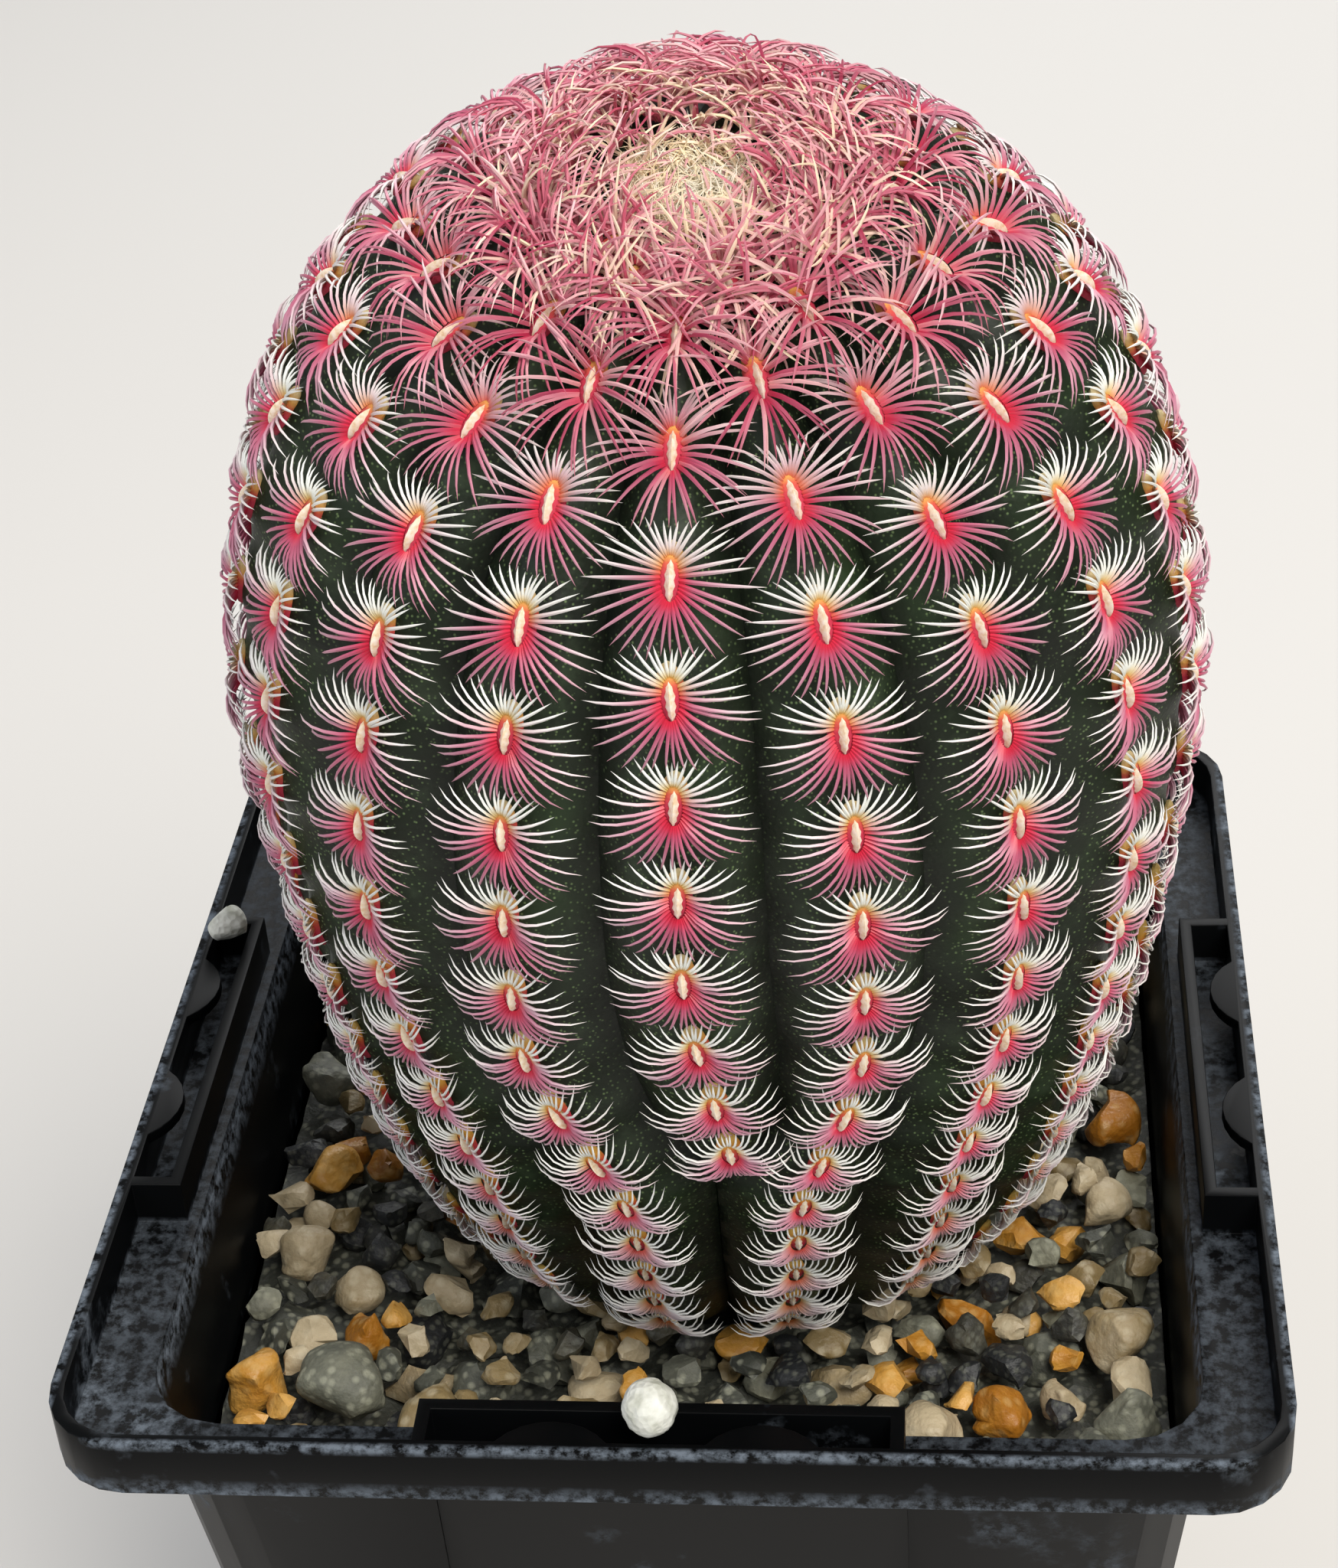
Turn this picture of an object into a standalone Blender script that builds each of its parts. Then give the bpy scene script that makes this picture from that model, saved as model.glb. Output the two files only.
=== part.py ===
# Round rainbow-type hedgehog cactus in a square nursery pot, topped with mineral gravel.
# Metres, +Z up. The origin is the middle of the pot's foot; the cactus shows its front to -Y.
# Every piece is one closed solid. The plant's pieces are parented to an empty on the plant's
# own axis, which leans a little.

import math
import random

import bmesh
import bpy
from mathutils import Euler, Vector

MM = 0.001

# ---- Pot -------------------------------------------------------------------------------
POT_WIDTH = 90 * MM          # across the outside of the collar
POT_HEIGHT = 82 * MM
SHOULDER_INSET = 5 * MM      # the body stands this far inside the collar, just under it
FOOT_INSET = 13 * MM         # and this far inside it at the foot
COLLAR_HEIGHT = 5 * MM
RIM_CORNER = 6 * MM          # radius of the collar's corners
BODY_CORNER = 7 * MM
COLLAR_WALL = 1.1 * MM
WALL = 1.1 * MM              # body wall
FLOOR = 1.6 * MM
FOOT_RISE = 2.0 * MM         # the floor stands this far above the table, on a foot ring
FOOT_RING = 5.5 * MM         # width of that ring
FOOT_GATE = 9 * MM           # drain gate through the ring on each side
DRAIN_RADIUS = 3.2 * MM      # four drain holes and one in the middle
DRAIN_SPREAD = 15 * MM       # drain holes off the middle
SLOT_LENGTH = 33 * MM        # label slot on each side, inside the collar
SLOT_WIDTH = 3 * MM
SLOT_WALL = 1.0 * MM
SLOT_FLOOR = 1.1 * MM        # the slot is a blind pocket, closed from below
TAB_WIDTH = 8 * MM           # rounded tabs that reach from the rim into each slot
TAB_REACH = 2 * MM
TAB_THICKNESS = 1.0 * MM
TAB_SPREAD = 15 * MM         # between the two tabs of a slot
PANEL_RECESS = 0.45 * MM     # the middle panel of each side lies this far back

# ---- Fill ------------------------------------------------------------------------------
CLEARANCE = 0.3 * MM         # between any two pieces that touch
GRAVEL_DROP = 16 * MM        # top of the gravel bed under the rim
GRAVEL_DEPTH = 7 * MM
PEBBLE_LARGEST = 8.4 * MM
PEBBLE_COVER = 0.42          # they cover no more than this share of the open bed
BEAD_DIAMETER = 4.2 * MM     # perlite bead caught in the front slot
CHIP_DIAMETER = 3.9 * MM     # white stone chip caught in the left slot

# ---- Plant -----------------------------------------------------------------------------
PLANT_HEIGHT = 96 * MM       # from the foot of the spines to where the ribs meet the crown
PLANT_WIDTH = 71.8 * MM      # across the spines at the widest
PLANT_OFFSET = (2.55 * MM, 0.0)
PLANT_LEAN = (math.radians(-1.3), math.radians(1.2))
PLANT_BEND = math.radians(19)    # the plant has grown towards the front: turn from foot to crown
PLANT_LIFT = 2.5 * MM        # foot of the spines over the gravel bed
SPINE_LAYER = 3.0 * MM       # from a rib's crest to the spine tips
CROWN_LAYER = 2.6 * MM       # added to it at the growing point
RIB_COUNT = 19               # one rib ends part of the way down, so the foot has one less
RIB_DEPTH = 2.6 * MM
CROWN_RADIUS = 8 * MM
BEAD_DENT = 0.8 * MM         # a row of spines sinks this far between two areoles
ROW_STEP = 4.4 * MM          # longest facet along a row
ROW_FOOT = 2 * MM            # the rows end this far over the foot of the plant
ROW_TRIM = 0.003             # radians more off each side of a row, for its flat facets
EDGE_DROP = 0.55             # the spines sink over a groove by this share of its depth
NECK_RADIUS = 15 * MM        # root neck where it enters the gravel
ROOT_DEPTH = 23 * MM         # tip of the tap root under the foot of the spines

# Outline of the spine tips: share of half the width, share of the height. The crown's spines
# mound up a little over the height of the ribs.
OUTLINE = (
    (0.620, 0.000), (0.805, 0.120), (0.926, 0.280), (0.983, 0.450), (1.000, 0.600),
    (0.942, 0.745), (0.812, 0.867), (0.555, 0.972), (0.300, 1.030), (0.000, 1.046),
)

# Sizes that follow from those above.
SHOULDER_WIDTH = POT_WIDTH - 2 * SHOULDER_INSET
FOOT_WIDTH = POT_WIDTH - 2 * FOOT_INSET
BED_TOP = POT_HEIGHT - GRAVEL_DROP

STEM_RINGS = 16
CROWN_TURNS = [index * math.tau / 20 for index in range(20)]
SETTLE_ROUNDS = 1500         # passes that push the pebbles apart
SHORT_RIB_END = 0.315        # share of the height where the front rib ends
# Larger stones of the top dressing: place as shares of half the bed, diameter, finish.
PEBBLES = (
    (-0.94, -0.69, 6.2 * MM, "orange quartz"), (-0.93, -0.90, 4.8 * MM, "cream quartz"),
    (-0.77, -0.74, 8.4 * MM, "grey granite"), (-0.73, -0.91, 5.6 * MM, "cream quartz"),
    (-0.50, -0.85, 7.8 * MM, "cream quartz"), (-0.86, -0.03, 6.4 * MM, "orange quartz"),
    (-0.87, -0.28, 6.2 * MM, "cream quartz"), (-0.74, -0.40, 5.2 * MM, "cream quartz"),
    (-0.71, -0.57, 5.2 * MM, "orange quartz"), (0.91, 0.16, 5.8 * MM, "orange quartz"),
    (0.89, -0.10, 5.6 * MM, "cream quartz"), (0.90, -0.52, 6.4 * MM, "cream quartz"),
    (0.93, -0.73, 6.4 * MM, "grey granite"), (0.80, -0.72, 4.6 * MM, "cream quartz"),
    (0.80, -0.88, 4.8 * MM, "dark stone"), (0.66, -0.90, 5.4 * MM, "orange quartz"),
    (0.67, -0.74, 5.2 * MM, "orange quartz"), (0.54, -0.82, 6.8 * MM, "cream quartz"),
    (0.43, -0.88, 4.8 * MM, "orange quartz"), (-0.20, -0.93, 5.4 * MM, "dark stone"),
    (-0.92, 0.30, 6.0 * MM, "grey granite"), (-0.80, 0.66, 7.4 * MM, "dark stone"),
    (-0.52, 0.90, 6.6 * MM, "cream quartz"), (-0.04, 0.94, 5.6 * MM, "grey granite"),
    (0.48, 0.90, 6.8 * MM, "orange quartz"), (0.84, 0.80, 7.2 * MM, "grey granite"),
    (0.90, 0.42, 6.2 * MM, "dark stone"), (0.16, -0.94, 5.0 * MM, "grey granite"),
)

CLOSING = (0.27, 0.46)       # the neighbours close over it between these heights
CLOSING_SPREAD = 0.02        # the bend of each further rib starts this much sooner
FRONT_SPREAD = 0.047         # radians: the ribs in front stand a little wider than those behind
FOOT_SPREAD = 0.10           # the same at the foot


def clamp(value, low, high):
    return max(low, min(high, value))


def mix(a, b, share):
    return a + (b - a) * share


def smooth_step(value, low, high):
    share = clamp((value - low) / (high - low), 0.0, 1.0)
    return share * share * (3 - 2 * share)


# ---- Scene helpers ----------------------------------------------------------------------
def clear_scene():
    for thing in list(bpy.data.objects):
        bpy.data.objects.remove(thing, do_unlink=True)


def collection(name):
    group = bpy.data.collections.new(name)
    bpy.context.scene.collection.children.link(group)
    return group


def material(name, colour, roughness, metallic=0.0):
    made = bpy.data.materials.new(name)
    made.use_nodes = True
    shader = made.node_tree.nodes["Principled BSDF"]
    shader.inputs["Base Color"].default_value = (*colour, 1.0)
    shader.inputs["Roughness"].default_value = roughness
    shader.inputs["Metallic"].default_value = metallic
    return made


def add_object(name, mesh, group, parent=None):
    made = bpy.data.objects.new(name, mesh)
    group.objects.link(made)
    made.parent = parent
    return made


def mesh_from(bm, name, smooth_angle=None):
    bm.normal_update()
    bmesh.ops.recalc_face_normals(bm, faces=bm.faces)
    mesh = bpy.data.meshes.new(name)
    bm.to_mesh(mesh)
    bm.free()
    if smooth_angle:
        mesh.shade_smooth()
        mesh.set_sharp_from_angle(angle=math.radians(smooth_angle))
    return mesh


def add_cutter(name, mesh, parent=None):
    made = add_object(name, mesh, cutters, parent)
    made.hide_render = True
    made.display_type = "WIRE"
    return made


def add_boolean(target, tool, operation):
    step = target.modifiers.new(tool.name, "BOOLEAN")
    step.operation = operation
    step.solver = "EXACT"
    step.object = tool


# ---- Shapes -----------------------------------------------------------------------------
def tapered_block(low_width, high_width, low, high, corner, segments=4):
    """A square block with rounded upright edges, which may widen upwards."""
    bm = bmesh.new()
    bmesh.ops.create_cube(bm, size=1.0)
    for vert in bm.verts:
        width = high_width if vert.co.z > 0 else low_width
        vert.co.x *= width
        vert.co.y *= width
        vert.co.z = high if vert.co.z > 0 else low
    if corner > 0:
        upright = [edge for edge in bm.edges
                   if abs(edge.verts[0].co.z - edge.verts[1].co.z) > (high - low) / 2]
        bmesh.ops.bevel(bm, geom=upright, offset=corner, segments=segments,
                        profile=0.5, affect="EDGES")
    return bm


def box_mesh(name, size, centre):
    bm = bmesh.new()
    bmesh.ops.create_cube(bm, size=1.0)
    bmesh.ops.scale(bm, vec=size, verts=bm.verts)
    bmesh.ops.translate(bm, vec=centre, verts=bm.verts)
    return mesh_from(bm, name)


def loft(rings, name, smooth_angle=None, tips=(None, None)):
    """A closed solid through rings with the same number of points."""
    bm = bmesh.new()
    rows = [[bm.verts.new(point) for point in ring] for ring in rings]
    for low, high in zip(rows, rows[1:]):
        for index in range(len(low)):
            after = (index + 1) % len(low)
            bm.faces.new((low[index], low[after], high[after], high[index]))
    for row, tip in ((rows[0], tips[0]), (rows[-1], tips[1])):
        centre = tip or sum((vert.co for vert in row), Vector()) / len(row)
        middle = bm.verts.new(centre)
        for index in range(len(row)):
            bm.faces.new((row[index], row[(index + 1) % len(row)], middle))
    return mesh_from(bm, name, smooth_angle)


# ---- Pot --------------------------------------------------------------------------------
def body_width(height):
    """Outside width of the pot's body at a height."""
    return mix(FOOT_WIDTH, SHOULDER_WIDTH, height / (POT_HEIGHT - COLLAR_HEIGHT))


def inner_width(height):
    return body_width(height) - 2 * WALL


def tab_mesh():
    """A rounded tab, flat side outwards at X = 0, reaching towards -X."""
    radius = ((TAB_WIDTH / 2) ** 2 + TAB_REACH ** 2) / (2 * TAB_REACH)
    half = math.asin(TAB_WIDTH / 2 / radius)
    steps = 8
    arc = []
    for index in range(steps + 1):
        angle = mix(-half, half, index / steps)
        arc.append((radius - TAB_REACH - radius * math.cos(angle), radius * math.sin(angle)))
    root = COLLAR_WALL / 2
    outline = arc + [(root, TAB_WIDTH / 2), (root, -TAB_WIDTH / 2)]
    bm = bmesh.new()
    face = bm.faces.new([bm.verts.new((x, y, -TAB_THICKNESS)) for x, y in outline])
    raised = bmesh.ops.extrude_face_region(bm, geom=[face])["geom"]
    lifted = [item for item in raised if isinstance(item, bmesh.types.BMVert)]
    bmesh.ops.translate(bm, vec=(0, 0, TAB_THICKNESS), verts=lifted)
    return mesh_from(bm, "tab")


def make_pot(group):
    ledge = POT_HEIGHT - COLLAR_HEIGHT
    slot_outer = POT_WIDTH / 2 - COLLAR_WALL
    slot_inner = slot_outer - SLOT_WIDTH
    bm = tapered_block(FOOT_WIDTH, SHOULDER_WIDTH, 0, ledge + WALL / 2, BODY_CORNER)
    pot = add_object("pot", mesh_from(bm, "pot", 35), group)

    bm = tapered_block(POT_WIDTH, POT_WIDTH, ledge, POT_HEIGHT, RIM_CORNER, 5)
    add_boolean(pot, add_cutter("collar_block", mesh_from(bm, "collar_block")), "UNION")

    hollow_width = POT_WIDTH - 2 * COLLAR_WALL
    bm = tapered_block(hollow_width, hollow_width, ledge + WALL, POT_HEIGHT + WALL,
                       RIM_CORNER - COLLAR_WALL, 5)
    add_boolean(pot, add_cutter("collar_hollow", mesh_from(bm, "collar_hollow")), "DIFFERENCE")

    floor_top = FOOT_RISE + FLOOR
    bm = tapered_block(inner_width(floor_top), inner_width(ledge + 2 * WALL), floor_top,
                       ledge + 2 * WALL, BODY_CORNER - WALL)
    add_boolean(pot, add_cutter("body_hollow", mesh_from(bm, "body_hollow")), "DIFFERENCE")

    frame_depth = slot_outer + COLLAR_WALL / 2 - slot_inner + SLOT_WALL
    for side in range(4):
        turn = side * math.pi / 2
        frame = add_cutter(f"slot_frame_{side}", box_mesh(
            "slot_frame", (frame_depth, SLOT_LENGTH + 2 * SLOT_WALL, COLLAR_HEIGHT - WALL / 2),
            (slot_inner - SLOT_WALL + frame_depth / 2, 0,
             ledge + WALL / 2 + (COLLAR_HEIGHT - WALL / 2) / 2)))
        frame.rotation_euler.z = turn
        add_boolean(pot, frame, "UNION")
        slot = add_cutter(f"slot_{side}", box_mesh(
            "slot", (SLOT_WIDTH, SLOT_LENGTH, COLLAR_HEIGHT),
            ((slot_outer + slot_inner) / 2, 0, ledge + SLOT_FLOOR + COLLAR_HEIGHT / 2)))
        slot.rotation_euler.z = turn
        add_boolean(pot, slot, "DIFFERENCE")
        for hand in (-1, 1):
            tab = add_cutter(f"tab_{side}_{hand}", tab_mesh())
            place = Vector((slot_outer, hand * TAB_SPREAD / 2, POT_HEIGHT))
            place.rotate(Euler((0, 0, turn)))
            tab.location = place
            tab.rotation_euler.z = turn
            add_boolean(pot, tab, "UNION")
        add_boolean(pot, panel_cutter(side, turn), "DIFFERENCE")
        gate = add_cutter(f"gate_{side}", box_mesh(
            "gate", (FOOT_WIDTH, FOOT_GATE, 2 * FOOT_RISE), (FOOT_WIDTH / 2, 0, 0)))
        gate.rotation_euler.z = turn
        add_boolean(pot, gate, "DIFFERENCE")

    well_width = FOOT_WIDTH - 2 * FOOT_RING
    bm = tapered_block(well_width, well_width, -FOOT_RISE, FOOT_RISE, BODY_CORNER / 2)
    add_boolean(pot, add_cutter("foot_well", mesh_from(bm, "foot_well")), "DIFFERENCE")
    for index in range(5):
        bm = bmesh.new()
        bmesh.ops.create_cone(bm, cap_ends=True, segments=12, radius1=DRAIN_RADIUS,
                              radius2=DRAIN_RADIUS, depth=4 * (FOOT_RISE + FLOOR))
        drain = add_cutter(f"drain_{index}", mesh_from(bm, "drain"))
        if index < 4:
            angle = math.radians(45 + 90 * index)
            drain.location = (DRAIN_SPREAD * math.cos(angle), DRAIN_SPREAD * math.sin(angle), 0)
        add_boolean(pot, drain, "DIFFERENCE")
    return pot


def panel_cutter(side, turn):
    """Cuts the shallow recess of a side's middle panel, along the leaning wall."""
    ledge = POT_HEIGHT - COLLAR_HEIGHT
    lean = math.atan2((SHOULDER_WIDTH - FOOT_WIDTH) / 2, ledge)
    depth = 10 * PANEL_RECESS
    height = ledge / math.cos(lean) - 2 * FOOT_RISE
    cutter = add_cutter(f"panel_{side}", box_mesh(
        "panel", (depth, SLOT_LENGTH + 2 * SLOT_WALL, height),
        (depth / 2 - PANEL_RECESS, 0, 0)))
    middle = (ledge - 2 * WALL) / 2 + FOOT_RISE
    place = Vector((body_width(middle) / 2, 0, middle - WALL))
    place.rotate(Euler((0, 0, turn)))
    cutter.location = place
    cutter.rotation_euler = (0, lean, turn)
    return cutter


# ---- Plant outline ----------------------------------------------------------------------
def smooth_outline(steps_each=8):
    """Points (radius, height) along the spine tips, from the foot to the crown."""
    knots = [Vector((share * PLANT_WIDTH / 2, level * PLANT_HEIGHT)) for share, level in OUTLINE]
    knots = [knots[0] * 2 - knots[1]] + knots + [Vector((-knots[-2].x, knots[-2].y))]
    points = []
    for before, start, end, after in zip(knots, knots[1:], knots[2:], knots[3:]):
        for index in range(steps_each):
            t = index / steps_each
            points.append(0.5 * (2 * start + (end - before) * t
                                 + (2 * before - 5 * start + 4 * end - after) * t * t
                                 + (3 * start - before - 3 * end + after) * t ** 3))
    points.append(knots[-2])
    return points


def outline_table():
    """Arc lengths from the crown down, with the outline's point and outward normal."""
    points = smooth_outline()[::-1]
    table = []
    travelled = 0.0
    for index, point in enumerate(points):
        if index:
            travelled += (point - points[index - 1]).length
        near = points[max(index - 1, 0)]
        far = points[min(index + 1, len(points) - 1)]
        along = (far - near).normalized()
        table.append((travelled, point, Vector((-along.y, along.x))))
    return table


def outline_at(distance):
    """Point and normal of the spine tips at an arc length from the crown."""
    table = OUTLINE_TABLE
    index = 1
    while index < len(table) - 1 and table[index][0] < distance:
        index += 1
    (low, point_a, normal_a), (high, point_b, normal_b) = table[index - 1], table[index]
    share = clamp((distance - low) / (high - low), 0.0, 1.0)
    return point_a.lerp(point_b, share), normal_a.lerp(normal_b, share).normalized()


def distance_at_level(level):
    """Arc length from the crown at a share of the plant's height."""
    for travelled, point, _ in OUTLINE_TABLE:
        if point.y <= level * PLANT_HEIGHT:
            return travelled
    return OUTLINE_TABLE[-1][0]


# ---- Ribs ---------------------------------------------------------------------------------
def rib_angle(rib, level):
    """Azimuth of a rib's crest, from the front towards +X; rib 0 is the short one."""
    if rib == 0:
        return math.radians(5.0) * smooth_step(level, 0.60, 0.28)
    side = 1 if rib > 0 else -1
    top = rib * math.tau / RIB_COUNT
    top += FRONT_SPREAD * math.sin(top)
    foot = side * (abs(rib) - 0.5) * math.tau / (RIB_COUNT - 1) + math.radians(1.5)
    foot += FOOT_SPREAD * math.sin(foot)
    low = CLOSING[0] - CLOSING_SPREAD * abs(rib)
    high = CLOSING[1] + CLOSING_SPREAD * abs(rib)
    return mix(foot, top, smooth_step(level, low, high))


def short_rib_share(level):
    """How far the short rib stands out: 1 where it is whole, near 0 where it has ended."""
    return max(0.02, smooth_step(level, SHORT_RIB_END - 0.05, SHORT_RIB_END + 0.06))


def rib_edges(rib, level):
    """Azimuths of the grooves on the two sides of a rib."""
    last = (RIB_COUNT - 1) // 2
    share = short_rib_share(level)
    closed = (rib_angle(-1, level) + rib_angle(1, level)) / 2
    edges = []
    for a, b in ((rib - 1, rib), (rib, rib + 1)):
        if a < -last:
            edge = (rib_angle(last, level) - math.tau + rib_angle(b, level)) / 2
        elif b > last:
            edge = (rib_angle(a, level) + rib_angle(-last, level) + math.tau) / 2
        elif 0 in (a, b):
            edge = mix(closed, (rib_angle(a, level) + rib_angle(b, level)) / 2, share)
        else:
            edge = (rib_angle(a, level) + rib_angle(b, level)) / 2
        edges.append(edge)
    return edges


def all_ribs():
    last = (RIB_COUNT - 1) // 2
    return range(-last, last + 1)


def rib_depth(radius):
    """Depth of the grooves, shallower where the ribs crowd together at the crown."""
    room = math.tau * radius / RIB_COUNT
    return min(RIB_DEPTH, room * 0.42)


def rib_azimuth(rib, level, across, trim=0.0):
    """Azimuth at a place across a rib, -1 and 1 being its grooves, 0 its crest."""
    low, high = rib_edges(rib, level)
    low += trim
    high -= trim
    crest = clamp(rib_angle(rib, level), mix(low, high, 0.3), mix(low, high, 0.7))
    return mix(crest, high, across) if across > 0 else mix(crest, low, -across)


def bend(point):
    """A point of the straight plant, carried along as the plant bends towards the front."""
    rate = PLANT_BEND / PLANT_HEIGHT
    if point.z <= 0 or rate < 0.001:
        return Vector(point)
    turn = rate * point.z
    return Vector((point.x, point.y * math.cos(turn) - (1 - math.cos(turn)) / rate,
                   point.y * math.sin(turn) + math.sin(turn) / rate))


def surface_point(distance, azimuth, lift):
    """A point over the spine-tip surface (lift 0), or under it (lift below 0)."""
    point, normal = outline_at(distance)
    point = point + normal * lift
    return bend(Vector((point.x * math.sin(azimuth), -point.x * math.cos(azimuth), point.y)))


def layer_depth(level):
    """Depth of the spines over a rib's crest."""
    return SPINE_LAYER + CROWN_LAYER * smooth_step(level, 0.93, 1.0)


def skin_lift(rib, distance, across):
    """How deep the skin lies under the spine tips, across a rib."""
    point, _ = outline_at(distance)
    level = point.y / PLANT_HEIGHT
    depth = rib_depth(point.x)
    share = short_rib_share(level) if rib == 0 else 1.0
    sunk = depth * (1 - share * (1 - abs(across) ** 1.6))
    return -layer_depth(level) - sunk


def make_stem(group, axis):
    """The ribbed body, with its root neck and tap root below."""
    top = CROWN_RADIUS * 0.8
    foot = OUTLINE_TABLE[-1][0]
    stations = [(rib, across) for rib in all_ribs() for across in (-1.0, -0.5, 0.0, 0.5)]
    rings = []
    for radius, height in root_profile():
        azimuths = [rib_azimuth(rib, 0.0, across) for rib, across in stations]
        rings.append([(radius * math.sin(a), -radius * math.cos(a), height) for a in azimuths])
    for index in range(STEM_RINGS):
        distance = mix(foot, top, index / (STEM_RINGS - 1))
        level = outline_at(distance)[0].y / PLANT_HEIGHT
        rings.append([surface_point(distance, rib_azimuth(rib, level, across),
                                    skin_lift(rib, distance, across))
                      for rib, across in stations])
    dip = bend(Vector((0, 0, outline_at(top)[0].y - layer_depth(1.0) - RIB_DEPTH)))
    tip = Vector((0, 0, -ROOT_DEPTH))
    return add_object("stem", loft(rings, "stem", 50, (tip, dip)), group, axis)


def root_profile():
    """Radius and height of the tap root and neck, upwards."""
    return ((NECK_RADIUS * 0.22, -ROOT_DEPTH * 0.93), (NECK_RADIUS * 0.62, -ROOT_DEPTH * 0.55),
            (NECK_RADIUS * 0.92, -ROOT_DEPTH * 0.30), (NECK_RADIUS, 3 * CLEARANCE - PLANT_LIFT))


def areole_step(distance):
    """Spacing of the areoles along a rib: close at the crown and at the foot."""
    if distance < 35 * MM:
        return mix(3.6, 8.3, smooth_step(distance, 4 * MM, 22 * MM)) * MM
    return mix(5.6, 8.3, smooth_step(distance, 86 * MM, 58 * MM)) * MM


def areole_distances(rib):
    """Arc lengths from the crown of a rib's areoles."""
    anchors = {0: 46.6, 1: 42.4, -1: 42.8, 2: 47.0, -2: 48.2, 3: 43.6, -3: 45.2}
    anchor = anchors.get(rib, 43.4 + 3.6 * (rib % 2) + 0.35 * (rib % 3)) * MM
    last = OUTLINE_TABLE[-1][0] - 5 * MM
    if rib == 0:
        last = distance_at_level(SHORT_RIB_END + 0.01)
    found = [anchor]
    while found[-1] + areole_step(found[-1]) < last:
        found.append(found[-1] + areole_step(found[-1]))
    while found[0] - areole_step(found[0]) > CROWN_RADIUS:
        found.insert(0, found[0] - areole_step(found[0]))
    return found


def row_stops(areoles, first, last):
    """Arc lengths and dents of a band: full at each areole, dented between them."""
    wanted = [(first, 0.0)]
    for distance, after in zip(areoles, areoles[1:] + [last]):
        wanted += [(distance, 0.0), ((distance + after) / 2, BEAD_DENT)]
    wanted = [stop for stop in wanted if first <= stop[0] < last - MM] + [(last, BEAD_DENT)]
    stops = wanted[:1]
    for stop in wanted[1:]:
        gap = stop[0] - stops[-1][0]
        if gap > ROW_STEP:
            stops.append((stop[0] - gap / 2, BEAD_DENT / 2))
        stops.append(stop)
    return stops


def row_section(rib, distance, dent):
    """Six points round a band: three over the skin and three at the spine tips."""
    point, _ = outline_at(distance)
    level = point.y / PLANT_HEIGHT
    depth = rib_depth(point.x)
    trim = CLEARANCE / 2 / point.x + ROW_TRIM
    section = []
    for across in (-1.0, 0.0, 1.0):
        lift = skin_lift(rib, distance, across) + CLEARANCE + 0.28 * depth
        section.append(surface_point(distance, rib_azimuth(rib, level, across, trim), lift))
    for across, drop in ((1.0, EDGE_DROP * depth), (0.0, dent), (-1.0, EDGE_DROP * depth)):
        section.append(surface_point(distance, rib_azimuth(rib, level, across, trim), -drop))
    return section


def make_spine_rows(group, axis):
    """One row of areoles with their combs of spines for each rib, as one beaded band."""
    for number, rib in enumerate(all_ribs(), start=1):
        last = OUTLINE_TABLE[-1][0] - ROW_FOOT
        if rib == 0:
            last = distance_at_level(SHORT_RIB_END - 0.01)
        stops = row_stops(areole_distances(rib), CROWN_RADIUS, last)
        rings = [row_section(rib, distance, dent) for distance, dent in stops[::-1]]
        row = add_object(f"spine_row_{number:02d}", loft(rings, "spine_row", 40), group, axis)
        row.data.materials.append(spine_finish)


def make_crown(group, axis):
    """The tuft of young spines and wool over the growing point, as one low dome."""
    top = OUTLINE_TABLE[0][1].y
    under = top - layer_depth(1.0) - RIB_DEPTH + CLEARANCE
    point, normal = outline_at(CROWN_RADIUS)
    high, low = (point - normal * depth for depth in (1.2 * MM, 4.2 * MM))
    gap = 2 * CLEARANCE
    profile = [(0, top - 1.8 * MM), (high.x * 0.45, top - 0.5 * MM), (high.x * 0.75, top - 0.9 * MM),
               (high.x - gap, high.y), (low.x - gap, low.y), (low.x * 0.6, under + 2.6 * MM),
               (0, under + 2.2 * MM)]
    rings = [[bend(Vector((x * math.sin(turn), -x * math.cos(turn), z))) for turn in CROWN_TURNS]
             for x, z in profile[-2:0:-1]]
    tips = [bend(Vector((0, 0, profile[index][1]))) for index in (-1, 0)]
    return add_object("crown_spines", loft(rings, "crown", 40, tips), group, axis)


# ---- Fill ---------------------------------------------------------------------------------
def fill_block(name, low, high, group):
    """A layer of the fill: the pot's inside between two heights, less the clearance."""
    bm = tapered_block(inner_width(low) - 2 * CLEARANCE, inner_width(high) - 2 * CLEARANCE,
                       low, high, BODY_CORNER - WALL - CLEARANCE)
    return add_object(name, mesh_from(bm, name, 40), group)


def root_hollow(axis):
    """The room that the root neck and tap root take, as a cutter."""
    steps = 20
    rings = []
    reach = [(radius + CLEARANCE * 1.4, height) for radius, height in root_profile()]
    reach.append((reach[-1][0], GRAVEL_DROP))
    for radius, height in reach:
        rings.append([(radius * math.cos(math.tau * i / steps),
                       radius * math.sin(math.tau * i / steps), height) for i in range(steps)])
    tip = Vector((0, 0, -ROOT_DEPTH - 2 * CLEARANCE))
    return add_cutter("root_hollow", loft(rings, "root_hollow", tips=(tip, None)), axis)


def stone_mesh(rng, size, name):
    """An uneven stone that stays inside a sphere of the given diameter."""
    bm = bmesh.new()
    bmesh.ops.create_icosphere(bm, subdivisions=1, radius=size / 2)
    squash = Vector((1.0, rng.uniform(0.80, 0.97), rng.uniform(0.68, 0.88)))
    turn = rng.uniform(0, math.tau)
    for vert in bm.verts:
        vert.co *= rng.uniform(0.86, 1.0)
        vert.co *= squash
        vert.co.rotate(Euler((0, 0, turn)))
    return mesh_from(bm, name, 60)


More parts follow.
